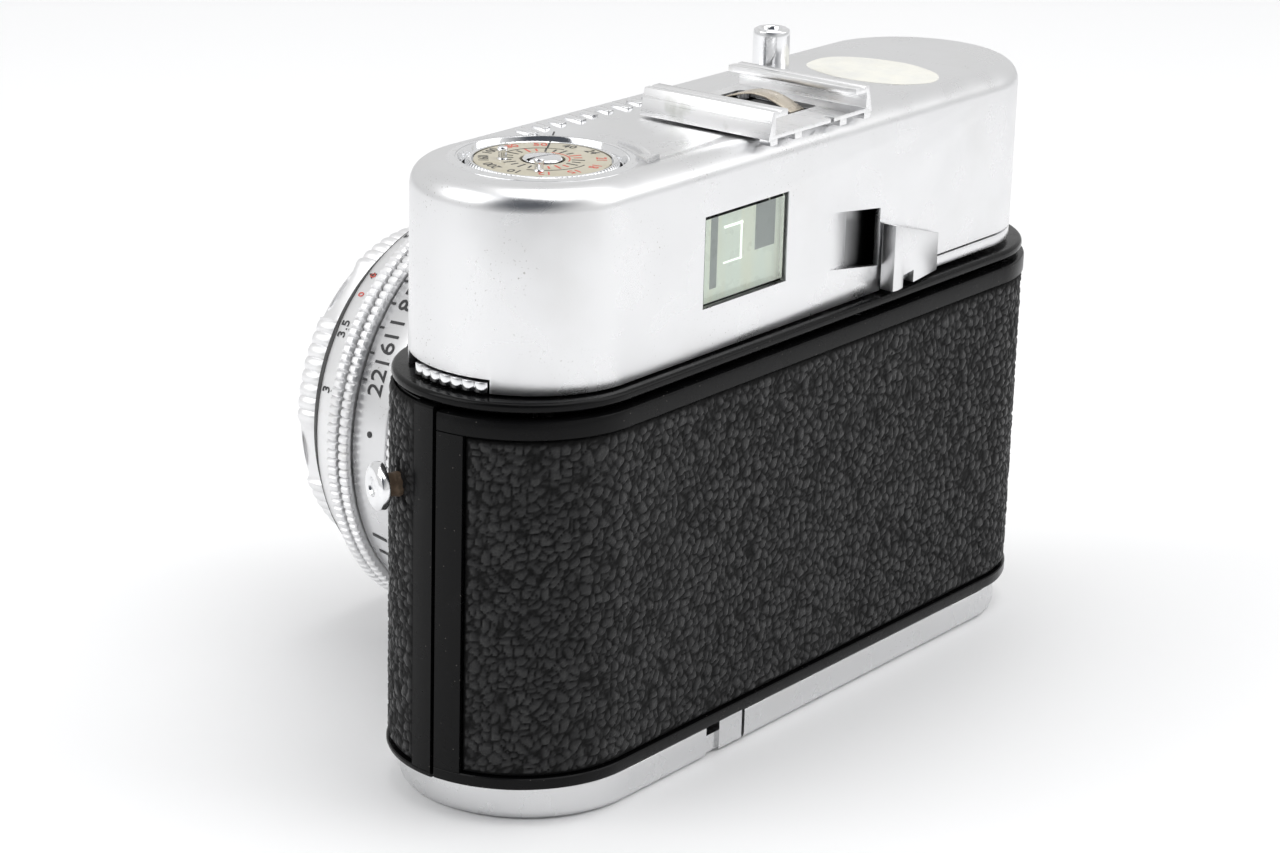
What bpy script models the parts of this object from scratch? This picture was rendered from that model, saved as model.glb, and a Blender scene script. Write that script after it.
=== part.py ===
"""A compact viewfinder camera for 35 mm film, as an assembly of its real pieces.

Frame: +Z is up, +Y is the camera's back and the lens looks along -Y. +X is the rewind end.
X = 0, Y = 0 is the middle of the body and Z = 0 is the underside of the base plate.
Every size below is in millimetres; the shape functions turn them into metres.
"""

from math import atan2, cos, degrees, pi, radians, sin, sqrt

import bmesh
import bpy
from mathutils import Matrix, Vector

MM = 0.001
GAP = 0.3
ARC_STEPS = 14
RING_STEPS = 36
SHAFT_STEPS = 16

# Body: a stadium in plan, two half-round ends joined by flat front and back walls.
BODY_END_X = 39.5
BODY_RADIUS = 15.5
SHELL_WALL = 1.5
DOOR_WALL = 1.7
BASE_TOP = 4.0
BODY_LOW = 4.3
FLOOR_TOP = 5.4
FRONT_HIGH = 49.2
DOOR_HIGH = 48.8
DECK_LOW = 49.5
DECK_HIGH = 50.7
SEAM_ANGLE = 1.0
FLOOR_RADIUS = 13.5
DECK_RADIUS = 15.1
BASE_RADIUS = 14.8
BASE_END_X = 38.2
TRAY_WALL = 1.1
TRAY_FLOOR = 1.2

# Leather panels lie in recesses in the front shell and in the door.
LEATHER_RADIUS = 15.4
LEATHER_THICK = 0.6
RECESS_RADIUS = 14.6
DOOR_LEATHER_ANGLE = 14.5
DOOR_LEATHER_Z = (6.1, 46.3)
FRONT_LEATHER_ANGLE = 13.0
FRONT_LEATHER_Z = (5.2, 48.9)
LEATHER_HOLE_RADIUS = 19.4
RECESS_MARGIN_ANGLE = 0.6

# Top cover.
COVER_END_X = 38.65
COVER_RADIUS = 13.75
COVER_WALL = 0.8
COVER_LOW = 51.0
COVER_HIGH = 74.3
COVER_FILLET = 2.6

# Lens and shutter, on an axis along -Y.
LENS_X = 2.0
LENS_Z = 28.6
HOUSING_RADIUS = 24.0
HOUSING_BORE = 22.8
TAIL_RADIUS = 17.4
RING_BORE = 24.15

# Film path.
FILM_Y = 9.3
GATE_WIDE = 18.0
GATE_HIGH = 24.0
CHAMBER_LOW = 5.7
CHAMBER_HIGH = 49.2
SPOOL_RADIUS = 6.0
SPROCKET_RADIUS = 6.05

# Rewind knob and its well.
KNOB_X = 36.8
KNOB_RADIUS = 8.75
DIAL_RADIUS = 7.8
BEZEL_RADIUS = 10.1
DIAL_PINS = ((4.5, -47.0), (5.4, 35.0))

# Film advance: the lever turns on the middle of the cover's far end.
LEVER_X = -COVER_END_X
LEVER_ARM_END = -13.2
LEVER_TEETH = 24
PINION_TEETH = 16
GEAR_MODULE = 0.6
SPROCKET_AT = (-23.9, FILM_Y - SPROCKET_RADIUS)
GEAR_Z = (53.2, 54.8)

# Release button.
BUTTON_AT = (-15.5, -6.0)
BUTTON_RADIUS = 2.3
BUTTON_HIGH = 80.5

# Accessory shoe.
SHOE_X = 2.9
SHOE_HALF = 10.6
SHOE_SLOT_HALF = 9.3
SHOE_LIP_HALF = 6.95
SHOE_Y = (-4.2, 14.6)
SHOE_LOW = COVER_HIGH + GAP
SHOE_HIGH = COVER_HIGH + 3.55
SHOE_FLOOR = SHOE_LOW + 0.5
SHOE_LIP = 0.7
SHOE_RIVETS = ((SHOE_X + 6.0, 9.0), (SHOE_X - 6.0, -1.2))
SHOE_WINDOW_X = (SHOE_X - 6.4, SHOE_X + 2.2)
SHOE_WINDOW_Y = (-2.2, 9.6)
RIVET_RADIUS = 0.75

# Finder windows, one in the back and one in the front of the cover.
WINDOW_X = (7.5, 24.3)
WINDOW_Z = (56.3, 67.6)

# Hinges.
DOOR_AXIS = (-54.9, -1.2)
DOOR_PIN_RADIUS = 0.68
DOOR_BORE = 0.76
FIXED_KNUCKLE_RADIUS = 1.2
FIXED_KNUCKLES = {"lower": (5.0, 8.0), "upper": (45.3, 48.3)}
DOOR_KNUCKLE_RADIUS = 1.4
DOOR_KNUCKLE_Z = (8.3, 45.0)
FLAP_AXIS = (20.6, 1.25)
FLAP_START = 21.9
HINGE_BLOCK_X = (14.4, 19.0)
FLAP_PIN_RADIUS = 0.58
FLAP_BORE = 0.66
BLADE_PIVOT = (6.0, -18.5)

# Strap lugs stand on the body's ends, turned towards the front.
LUG_ANGLE = 28.0
LUG_Z = 38.0
LUG_STEM_RADIUS = 1.5
LUG_HOLE_RADIUS = 1.8

# Tripod bush.
BUSH_X = -20.0
BUSH_BORE = 3.2
BUSH_RADIUS = 6.5

FINISHES = {
    "satin_chrome": ((0.72, 0.72, 0.73), 0.32, 1.0),
    "polished_chrome": ((0.80, 0.80, 0.81), 0.12, 1.0),
    "alloy": ((0.78, 0.78, 0.79), 0.38, 1.0),
    "black_enamel": ((0.012, 0.012, 0.014), 0.22, 0.0),
    "matt_black": ((0.02, 0.02, 0.02), 0.75, 0.0),
    "leather": ((0.018, 0.018, 0.019), 0.55, 0.0),
    "steel": ((0.48, 0.48, 0.50), 0.35, 1.0),
    "brass": ((0.62, 0.47, 0.22), 0.35, 1.0),
    "dial_cream": ((0.78, 0.74, 0.60), 0.45, 0.0),
    "optical_glass": ((0.55, 0.62, 0.58), 0.05, 0.0),
}


# ---------------------------------------------------------------- tools


def clear_scene():
    for old in list(bpy.data.objects):
        bpy.data.objects.remove(old, do_unlink=True)


def new_collection(name):
    group = bpy.data.collections.new(name)
    bpy.context.scene.collection.children.link(group)
    return group


def make_materials():
    made = {}
    for name, (colour, roughness, metallic) in FINISHES.items():
        material = bpy.data.materials.new(name)
        material.use_nodes = True
        shader = material.node_tree.nodes["Principled BSDF"]
        shader.inputs["Base Color"].default_value = (*colour, 1.0)
        shader.inputs["Roughness"].default_value = roughness
        shader.inputs["Metallic"].default_value = metallic
        made[name] = material
    return made


clear_scene()
CAMERA = new_collection("viewfinder_camera")
CUTTERS = new_collection("cutters")
MATERIALS = make_materials()


def add_object(name, data, finish):
    """Puts a piece in the camera's collection, or a cutter (no finish) in the cutters'."""
    obj = bpy.data.objects.new(name, data)
    if finish is None:
        CUTTERS.objects.link(obj)
        obj.hide_render = True
        obj.display_type = "WIRE"
    else:
        CAMERA.objects.link(obj)
        data.materials.append(MATERIALS[finish])
    return obj


def finish_mesh(name, bm, finish):
    bmesh.ops.remove_doubles(bm, verts=bm.verts, dist=1e-7)
    bmesh.ops.recalc_face_normals(bm, faces=bm.faces)
    mesh = bpy.data.meshes.new(name)
    bm.to_mesh(mesh)
    bm.free()
    return add_object(name, mesh, finish)


def block(name, low, high, finish=None):
    """A box between two corners."""
    bm = bmesh.new()
    bmesh.ops.create_cube(bm, size=1.0)
    low, high = Vector(low), Vector(high)
    size = (high - low) * MM
    bmesh.ops.scale(bm, vec=size, verts=bm.verts)
    bmesh.ops.translate(bm, vec=(low + high) * MM / 2, verts=bm.verts)
    return finish_mesh(name, bm, finish)


def rod(name, low, high, radius, finish=None, steps=SHAFT_STEPS):
    """A cylinder between two points."""
    low, high = Vector(low) * MM, Vector(high) * MM
    bm = bmesh.new()
    bmesh.ops.create_cone(
        bm,
        cap_ends=True,
        segments=steps,
        radius1=radius * MM,
        radius2=radius * MM,
        depth=(high - low).length,
    )
    turn = Vector((0, 0, 1)).rotation_difference(high - low).to_matrix().to_4x4()
    place = Matrix.Translation((low + high) / 2) @ turn
    bmesh.ops.transform(bm, matrix=place, verts=bm.verts)
    return finish_mesh(name, bm, finish)


def slab(name, outline, low, high, finish=None, along="Z"):
    """A flat outline with thickness. Along Z it lies in XY; along Y it lies in XZ; along X in YZ."""
    curve = bpy.data.curves.new(name + "_outline", "CURVE")
    curve.dimensions = "2D"
    curve.fill_mode = "BOTH"
    curve.extrude = (high - low) * MM / 2
    spline = curve.splines.new("POLY")
    spline.points.add(len(outline) - 1)
    spline.use_cyclic_u = True
    for point, (u, v) in zip(spline.points, outline):
        point.co = (u * MM, v * MM, 0, 1)
    guide = bpy.data.objects.new(name + "_outline", curve)
    bpy.context.scene.collection.objects.link(guide)
    bpy.context.view_layer.update()
    graph = bpy.context.evaluated_depsgraph_get()
    flat = bpy.data.meshes.new_from_object(guide.evaluated_get(graph))
    bpy.data.objects.remove(guide)
    bm = bmesh.new()
    bm.from_mesh(flat)
    bmesh.ops.remove_doubles(bm, verts=bm.verts, dist=1e-7)
    bmesh.ops.dissolve_limit(bm, angle_limit=radians(0.5), verts=bm.verts, edges=bm.edges)
    middle = (low + high) / 2 * MM
    place = {
        "Z": Matrix.Translation((0, 0, middle)),
        "Y": Matrix.Translation((0, middle, 0)) @ Matrix.Rotation(pi / 2, 4, "X"),
        "X": Matrix.Translation((middle, 0, 0))
        @ Matrix.Rotation(pi / 2, 4, "Z")
        @ Matrix.Rotation(pi / 2, 4, "X"),
    }[along]
    bmesh.ops.transform(bm, matrix=place, verts=bm.verts)
    return finish_mesh(name, bm, finish)


def turned(name, profile, at, finish=None, toward=(0, 0, 1), steps=RING_STEPS):
    """A turned piece. The profile's (radius, height) points run down the outer side, top to bottom."""
    mesh = bpy.data.meshes.new(name)
    points = [(radius * MM, 0, height * MM) for radius, height in profile]
    edges = [(i, (i + 1) % len(points)) for i in range(len(points))]
    on_axis = profile[0][0] == 0 and profile[-1][0] == 0
    mesh.from_pydata(points, edges[:-1] if on_axis else edges, [])
    obj = add_object(name, mesh, finish)
    obj.location = Vector(at) * MM
    obj.rotation_mode = "QUATERNION"
    obj.rotation_quaternion = Vector((0, 0, 1)).rotation_difference(Vector(toward))
    screw = obj.modifiers.new("turn", "SCREW")
    screw.axis = "Z"
    screw.steps = steps
    screw.render_steps = steps
    screw.use_merge_vertices = True
    screw.merge_threshold = 0.00001
    return obj


def ring(name, inner, outer, low, high, at, finish=None, toward=(0, 0, 1), steps=RING_STEPS):
    profile = [(inner, high), (outer, high), (outer, low), (inner, low)]
    return turned(name, profile, at, finish, toward, steps)


def lens_piece(name, profile, finish, steps=RING_STEPS):
    """A turned piece on the lens axis; its heights are distances in front of the body's middle."""
    return turned(name, profile, (LENS_X, 0, LENS_Z), finish, (0, -1, 0), steps)


def lens_ring(name, inner, outer, rear, front, finish):
    profile = [(inner, front), (outer, front), (outer, rear), (inner, rear)]
    return lens_piece(name, profile, finish)


def join(obj, other, operation):
    """Cuts another shape from a piece, or adds it to the piece."""
    modifier = obj.modifiers.new(operation.lower(), "BOOLEAN")
    modifier.operation = operation
    modifier.object = other
    modifier.solver = "EXACT"
    return obj


def cut(obj, *others):
    for other in others:
        join(obj, other, "DIFFERENCE")
    return obj


def add(obj, *others):
    for other in others:
        join(obj, other, "UNION")
    return obj


def hang_on(name, at, *pieces):
    """Parents moving pieces to an empty that stands on their joint's axis."""
    empty = bpy.data.objects.new(name, None)
    empty.empty_display_size = 5 * MM
    empty.location = Vector(at) * MM
    CAMERA.objects.link(empty)
    for piece in pieces:
        piece.parent = empty
        piece.matrix_parent_inverse = Matrix.Translation(-Vector(at) * MM)
    return empty


# ---------------------------------------------------------------- outlines


def arc(centre, radius, first, last, steps=ARC_STEPS):
    """Points on an arc, by angle in degrees."""
    points = []
    for i in range(steps + 1):
        angle = radians(first + (last - first) * i / steps)
        points.append((centre[0] + radius * cos(angle), centre[1] + radius * sin(angle)))
    return points


def stadium(end_x, radius):
    right = arc((end_x, 0), radius, -90, 90)
    left = arc((-end_x, 0), radius, 90, 270)
    return right + left


def side_path(end_x, radius, start, finish):
    """From an angle on the +X end, along the +Y side, to an angle on the -X end."""
    steps = ARC_STEPS // 2
    right = arc((end_x, 0), radius, start, 90, steps)
    left = arc((-end_x, 0), radius, 90, finish, steps)
    return right + left


def band(radius, wall, start, side, end_x=BODY_END_X):
    """A wall of even thickness round one long side. side is +1 for the back and -1 for the front."""
    outer = side_path(end_x, radius, start, 180 - start)
    inner = side_path(end_x, radius - wall, start, 180 - start)
    outline = outer + inner[::-1]
    return [(x, side * y) for x, y in outline]


def gear_outline(centre, teeth, turn):
    """A plain toothed outline whose first tooth points at the angle turn, in degrees."""
    pitch_radius = GEAR_MODULE * teeth / 2
    points = []
    for i in range(teeth):
        start = turn + 360.0 * i / teeth
        for share, offset in ((-0.22, -1.2), (-0.10, 0.75), (0.10, 0.75), (0.22, -1.2)):
            angle = radians(start + share * 360.0 / teeth)
            radius = pitch_radius + GEAR_MODULE * offset / 2
            points.append((centre[0] + radius * cos(angle), centre[1] + radius * sin(angle)))
    return points


def meshing_turn(bearing, turn, teeth, next_teeth):
    """The angle of a tooth on the next gear, so that it meets a gap of this one."""
    past_tooth = (bearing - turn) % (360.0 / teeth)
    return bearing + 180.0 + past_tooth * teeth / next_teeth + 180.0 / next_teeth


# ---------------------------------------------------------------- body


def front_shell():
    shell = slab(
        "front_shell", band(BODY_RADIUS, SHELL_WALL, SEAM_ANGLE, -1), BODY_LOW, FRONT_HIGH, "black_enamel"
    )
    low, high = FRONT_LEATHER_Z
    recess = slab(
        "front_recess",
        band(BODY_RADIUS + 1, BODY_RADIUS + 1 - RECESS_RADIUS, FRONT_LEATHER_ANGLE - RECESS_MARGIN_ANGLE, -1),
        low - GAP,
        high + 1,
    )
    hole = rod("lens_hole", (LENS_X, -20, LENS_Z), (LENS_X, -10, LENS_Z), TAIL_RADIUS + 0.5, None, 32)
    notch_low, notch_high = FIXED_KNUCKLES["lower"][1], FIXED_KNUCKLES["upper"][0]
    notch = rod(
        "knuckle_notch",
        (*DOOR_AXIS, notch_low),
        (*DOOR_AXIS, notch_high),
        DOOR_KNUCKLE_RADIUS + GAP + 0.05,
    )
    cut(shell, recess, hole, notch)
    for label, (low, high) in FIXED_KNUCKLES.items():
        name = "fixed_knuckle_" + label
        knuckle = rod(name, (*DOOR_AXIS, low), (*DOOR_AXIS, high), FIXED_KNUCKLE_RADIUS)
        add(shell, knuckle)
    pin_hole = rod("pin_hole", (*DOOR_AXIS, BODY_LOW), (*DOOR_AXIS, FRONT_HIGH), DOOR_BORE)
    cut(shell, pin_hole, *lug_holes("shell"))
    return shell


def front_leather():
    low, high = FRONT_LEATHER_Z
    panel = slab(
        "front_leather", band(LEATHER_RADIUS, LEATHER_THICK, FRONT_LEATHER_ANGLE, -1), low, high, "leather"
    )
    front, back = (LENS_X, -20, LENS_Z), (LENS_X, -10, LENS_Z)
    hole = rod("leather_lens_hole", front, back, LEATHER_HOLE_RADIUS, None, 32)
    return cut(panel, hole, *lug_holes("leather"))


def lug_place(sign):
    angle = radians(LUG_ANGLE)
    direction = Vector((sign * cos(angle), -sin(angle), 0))
    centre = Vector((sign * BODY_END_X, 0, LUG_Z))
    return centre, direction


def lug_holes(label):
    holes = []
    for side, sign in (("rewind", 1), ("advance", -1)):
        centre, direction = lug_place(sign)
        name = f"{label}_lug_hole_{side}"
        holes.append(rod(name, centre + direction * 10, centre + direction * 18, LUG_HOLE_RADIUS))
    return holes


def strap_lugs():
    profile = [(0, 18.8), (2.1, 18.8), (2.8, 18.3), (2.8, 17.5)]
    profile += [(LUG_STEM_RADIUS, 17.4), (LUG_STEM_RADIUS, 13.2), (0, 13.2)]
    for side, sign in (("rewind", 1), ("advance", -1)):
        centre, direction = lug_place(sign)
        turned("strap_lug_" + side, profile, centre, "polished_chrome", direction, 20)


def chassis():
    slab("chassis_floor", stadium(BODY_END_X, FLOOR_RADIUS), BODY_LOW, FLOOR_TOP, "matt_black")
    deck = slab("chassis_deck", stadium(BODY_END_X, DECK_RADIUS), DECK_LOW, DECK_HIGH, "black_enamel")
    shafts = (
        ("rewind", KNOB_X, 0.0, 2.4),
        ("spool", LEVER_X, 0.0, 2.4),
        ("sprocket", *SPROCKET_AT, 1.8),
    )
    for label, x, y, radius in shafts:
        cut(deck, rod(label + "_deck_hole", (x, y, DECK_LOW - 1), (x, y, DECK_HIGH + 1), radius))
    block("cassette_wall", (21.6, -12.6, CHAMBER_LOW), (22.8, FILM_Y - 0.6, CHAMBER_HIGH), "matt_black")
    block("takeup_wall", (-15.2, -12.6, CHAMBER_LOW), (-14.0, 5.7, CHAMBER_HIGH), "matt_black")


def film_gate():
    plate_back = FILM_Y - 0.7
    gate = block("film_gate", (-13.7, 6.0, CHAMBER_LOW), (21.3, plate_back, CHAMBER_HIGH), "matt_black")
    for label, side in (("upper", 1), ("lower", -1)):
        near, far = sorted((LENS_Z + side * 12.6, LENS_Z + side * 14.2))
        add(gate, block("film_rail_" + label, (-12.5, plate_back - 0.3, near), (20.5, FILM_Y, far)))
    half_wide, half_high = GATE_WIDE / 2, GATE_HIGH / 2
    aperture = block(
        "gate_aperture",
        (LENS_X - half_wide, 0, LENS_Z - half_high),
        (LENS_X + half_wide, 20, LENS_Z + half_high),
    )
    cut(gate, aperture)
    baffle = block(
        "light_baffle", (LENS_X - 12, -12.4, LENS_Z - 15), (LENS_X + 12, 5.7, LENS_Z + 15), "matt_black"
    )
    cut(baffle, block("baffle_bore", (LENS_X - 11, -20, LENS_Z - 14), (LENS_X + 11, 20, LENS_Z + 14)))


# ---------------------------------------------------------------- back door


def back_door():
    door = slab(
        "back_door", band(BODY_RADIUS, DOOR_WALL, SEAM_ANGLE, 1), BODY_LOW + 0.15, DOOR_HIGH, "black_enamel"
    )
    low, high = DOOR_LEATHER_Z
    recess = slab(
        "door_recess",
        band(BODY_RADIUS + 1, BODY_RADIUS + 1 - RECESS_RADIUS, DOOR_LEATHER_ANGLE - RECESS_MARGIN_ANGLE, 1),
        low - 0.2,
        high + 0.2,
    )
    cut(door, recess)
    x, y = DOOR_AXIS
    low, high = DOOR_KNUCKLE_Z
    knuckle = rod("door_knuckle", (x, y, low), (x, y, high), DOOR_KNUCKLE_RADIUS)
    web = block("door_knuckle_web", (x - 1.0, y + 0.4, low), (x + 0.6, 1.0, high))
    add(door, knuckle, web)
    cut(door, rod("door_pin_bore", (x, y, BODY_LOW), (x, y, DOOR_HIGH), DOOR_BORE))
    panel = band(LEATHER_RADIUS, LEATHER_THICK, DOOR_LEATHER_ANGLE, 1)
    leather = slab("door_leather", panel, *DOOR_LEATHER_Z, "leather")
    rod("door_hinge_pin", (x, y, 5.1), (x, y, 48.2), DOOR_PIN_RADIUS, "steel")
    plate = block("pressure_plate", (-11, FILM_Y + 0.4, 12), (15, FILM_Y + 1.2, 45), "matt_black")
    hang_on("door_hinge", (x, y, 0), door, leather, plate, pressure_spring())


def pressure_spring():
    """A bowed leaf between the pressure plate and the door."""
    half, rise, thick = 9.0, 2.2, 0.25
    steps = 10
    start = FILM_Y + 1.5
    outer = []
    for i in range(steps + 1):
        share = i / steps
        outer.append((LENS_X - half + 2 * half * share, start + thick + rise * sin(pi * share)))
    inner = [(x, y - thick) for x, y in outer]
    return slab("pressure_spring", outer + inner[::-1], LENS_Z - 4, LENS_Z + 4, "steel")


# ---------------------------------------------------------------- base


def base():
    """The base plate, the loading flap beside it and the tripod bush. Both trays open upwards."""
    whole = stadium(BASE_END_X, BASE_RADIUS)
    inside = stadium(BASE_END_X, BASE_RADIUS - TRAY_WALL)
    plate = slab("base_plate", whole, 0, BASE_TOP, "satin_chrome")
    cut(plate, block("base_end", (HINGE_BLOCK_X[0] - GAP, -20, -1), (60, 20, 6)))
    pocket = slab("base_pocket", inside, TRAY_FLOOR, 6)
    cut(pocket, block("base_pocket_end", (HINGE_BLOCK_X[0] - GAP - TRAY_WALL, -20, -1), (60, 20, 8)))
    bush_hole = rod("bush_hole", (BUSH_X, 0, -1), (BUSH_X, 0, 6), BUSH_RADIUS + GAP, None, 24)
    cut(plate, pocket, bush_hole)
    ring("tripod_bush", BUSH_BORE, BUSH_RADIUS, 0, BASE_TOP - 0.1, (BUSH_X, 0, 0), "steel", steps=24)

    flap = slab("base_flap", whole, 0, BASE_TOP, "satin_chrome")
    cut(flap, block("flap_end", (-60, -20, -1), (FLAP_START, 20, 6)))
    flap_pocket = slab("flap_pocket", inside, TRAY_FLOOR, 6)
    cut(flap_pocket, block("flap_pocket_end", (-60, -20, -1), (FLAP_START + TRAY_WALL, 20, 8)))
    cut(flap, flap_pocket)
    x, z = FLAP_AXIS
    add(
        flap,
        rod("flap_knuckle", (x, -9, z), (x, 9, z), 1.2),
        block("flap_web", (x, -9, z - 1.15), (FLAP_START + 0.5, 9, z - 0.1)),
    )
    cut(flap, rod("flap_bore", (x, -10, z), (x, 10, z), FLAP_BORE))
    hang_on("flap_hinge", (x, 0, z), flap)
    rod("flap_hinge_pin", (x, -13.0, z), (x, 13.0, z), FLAP_PIN_RADIUS, "steel", 12)
    hinge_block(x, z)


def hinge_block(x, z):
    """The fixed half of the flap's hinge, with an ear at each end of the pin."""
    near, far = HINGE_BLOCK_X
    low, high = (near, -14.6, 0.35), (far, 14.6, BASE_TOP)
    piece = block("flap_hinge_block", low, high, "satin_chrome")
    for label, low, high in (("front", -14.2, -9.4), ("back", 9.4, 14.2)):
        ear = block("flap_ear_" + label, (HINGE_BLOCK_X[1] - 0.5, low, 0.35), (x + 0.95, high, z + 1.3))
        add(piece, ear)
    cut(piece, rod("flap_ear_bore", (x, -13.3, z), (x, 13.3, z), FLAP_BORE))


# ---------------------------------------------------------------- top cover


def bevelled_slab(name, outline, low, high, width, finish=None):
    """A slab whose upper edge is rounded."""
    piece = slab(name, outline, low, high, finish)
    bm = bmesh.new()
    bm.from_mesh(piece.data)
    top = [e for e in bm.edges if all(abs(v.co.z - high * MM) < 1e-6 for v in e.verts)]
    rim = [e for e in top if any(abs(f.normal.z) < 0.5 for f in e.link_faces)]
    bmesh.ops.bevel(bm, geom=rim, offset=width * MM, segments=3, profile=0.5, affect="EDGES")
    bm.to_mesh(piece.data)
    bm.free()
    return piece


def lever_slot():
    """The slot at the cover's lower edge that the advance lever's arm swings through."""
    low, high = COVER_LOW - 0.2, COVER_LOW + 1.95
    outline = arc((LEVER_X, 0), COVER_RADIUS + 2, 90, 272)
    outline += [(LEVER_X, -(COVER_RADIUS - 2)), (LEVER_X, 0)]
    outline += [(-12.6, 9.0), (-12.6, COVER_RADIUS + 2)]
    return slab("lever_slot", outline, low, high)


def top_cover():
    cover = bevelled_slab(
        "top_cover",
        stadium(COVER_END_X, COVER_RADIUS),
        COVER_LOW,
        COVER_HIGH,
        COVER_FILLET,
        "satin_chrome",
    )
    inside = bevelled_slab(
        "cover_inside",
        stadium(COVER_END_X, COVER_RADIUS - COVER_WALL),
        COVER_LOW - 1,
        COVER_HIGH - COVER_WALL,
        COVER_FILLET - COVER_WALL,
    )
    windows = block("windows", (WINDOW_X[0], -20, WINDOW_Z[0]), (WINDOW_X[1], 20, WINDOW_Z[1]))
    knob_hole = rod("knob_hole", (KNOB_X, 0, 60), (KNOB_X, 0, 80), BEZEL_RADIUS + GAP, None, RING_STEPS)
    button_hole = rod("button_hole", (*BUTTON_AT, 70), (*BUTTON_AT, 80), 3.6, None, 20)
    cut(cover, inside, windows, knob_hole, button_hole, lever_slot(), catch_slot())
    for i, (x, y) in enumerate(SHOE_RIVETS):
        cut(cover, rod(f"shoe_rivet_hole_{i}", (x, y, 70), (x, y, 80), RIVET_RADIUS + GAP, None, 12))
    return cover


def catch_slot():
    """The notch in the rewind end that the knob's catch slides in."""
    outline = catch_outline(COVER_RADIUS - 2.2, COVER_RADIUS + 2, -42, 21)
    return slab("catch_slot", outline, COVER_LOW - 0.2, COVER_LOW + 1.6)


def catch_outline(inner, outer, start, finish):
    centre = (COVER_END_X, 0)
    return arc(centre, outer, start, finish, 8) + arc(centre, inner, finish, start, 8)


def finder():
    x0, x1 = WINDOW_X
    z0, z1 = WINDOW_Z
    housing = block("finder_housing", (x0 - 0.6, -11.3, z0 - 0.6), (x1 + 0.6, 11.3, z1 + 0.6), "matt_black")
    cut(housing, block("finder_bore", (x0 + 0.4, -20, z0 + 0.4), (x1 - 0.4, 20, z1 - 0.4)))
    inset = GAP
    glass_low, glass_high = 11.6, 13.2
    for label, near, far in (("rear", glass_low, glass_high), ("front", -glass_high, -glass_low)):
        block(
            "finder_glass_" + label,
            (x0 + inset, near, z0 + inset),
            (x1 - inset, far, z1 - inset),
            "optical_glass",
        )


def accessory_shoe():
    """Two lipped rails on a floor, drawn as one section and run along Y."""
    lip_low = SHOE_HIGH - SHOE_LIP
    half_top = SHOE_HALF - 0.8
    right = [
        (SHOE_HALF, SHOE_LOW),
        (half_top, SHOE_HIGH),
        (SHOE_LIP_HALF, SHOE_HIGH),
        (SHOE_LIP_HALF, lip_low),
        (SHOE_SLOT_HALF, lip_low),
        (SHOE_SLOT_HALF, SHOE_FLOOR),
    ]
    section = right + [(-x, z) for x, z in right[::-1]]
    shoe = slab("accessory_shoe", [(SHOE_X + x, z) for x, z in section], *SHOE_Y, "alloy", along="Y")
    under, over = SHOE_LOW - 1, SHOE_FLOOR + 1
    (x0, x1), (y0, y1) = SHOE_WINDOW_X, SHOE_WINDOW_Y
    cut(shoe, block("shoe_window", (x0, y0, under), (x1, y1, over)))
    for i, (x, y) in enumerate(SHOE_RIVETS):
        cut(shoe, rod(f"rivet_hole_{i}", (x, y, under), (x, y, over), RIVET_RADIUS + GAP, None, 12))
        low, high = (x, y, COVER_HIGH - 2.2), (x, y, SHOE_FLOOR - 0.05)
        rod(f"shoe_rivet_{i + 1}", low, high, RIVET_RADIUS, "steel", 12)
    shoe_spring()


def shoe_spring():
    """A thin leaf that arches up through the shoe's floor."""
    front, back, rise, thick = -1.6, 9.0, 1.5, 0.25
    steps = 10
    upper = []
    for i in range(steps + 1):
        share = i / steps
        upper.append((front + (back - front) * share, SHOE_FLOOR - 0.1 + rise * sin(pi * share)))
    lower = [(y, z - thick) for y, z in upper]
    slab("shoe_spring", upper + lower[::-1], SHOE_X - 4.4, SHOE_X - 1.6, "steel", along="X")


# ---------------------------------------------------------------- rewind


def rewind():
    """The knob sits flush in its well and lifts 6 mm when the catch is pushed."""
    at = (KNOB_X, 0, 0)
    ring("knob_bezel", 9.15, BEZEL_RADIUS, 67.0, COVER_HIGH + 0.2, at, "polished_chrome")
    top = COVER_HIGH - 0.1
    profile = [(DIAL_RADIUS + 0.25, top), (KNOB_RADIUS, top), (KNOB_RADIUS, 68.3), (3.2, 68.3)]
    profile += [(3.2, 66.5), (2.25, 66.5), (2.25, top - 0.9), (DIAL_RADIUS + 0.25, top - 0.9)]
    knob = turned("rewind_knob", profile, at, "polished_chrome")
    dial = ring("film_reminder_dial", 2.6, DIAL_RADIUS, top - 0.6, top, at, "dial_cream")
    screw = turned(
        "knob_screw",
        [(0, top + 0.35), (2.2, top + 0.3), (2.3, top), (2.0, top), (2.0, 72.4), (0, 72.4)],
        at,
        "polished_chrome",
        steps=20,
    )
    cut(screw, block("screw_slot", (KNOB_X - 3, -0.3, top - 0.2), (KNOB_X + 3, 0.3, top + 2)))
    shaft = rod("rewind_shaft", (KNOB_X, 0, 44.0), (KNOB_X, 0, 72.1), 1.95, "steel")
    cut(shaft, block("fork_slot", (KNOB_X - 3, -0.7, 43), (KNOB_X + 3, 0.7, 47.5)))
    sleeve = ring("rewind_sleeve", 2.2, 3.4, 51.3, 57.0, at, "brass", steps=20)
    for i, (out, angle) in enumerate(DIAL_PINS):
        x = KNOB_X + out * cos(radians(angle))
        y = out * sin(radians(angle))
        add(dial, rod(f"dial_pin_{i + 1}", (x, y, top - 0.3), (x, y, top + 1.4), 0.55, None, 10))
    hang_on("rewind_lift", at, sleeve)
    hang_on("rewind_turn", at, knob, screw, shaft)
    hang_on("dial_turn", at, dial)
    spring("rewind_spring", (KNOB_X, 0), 4.4, DECK_HIGH + 0.6, 67.7, 4)


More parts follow.
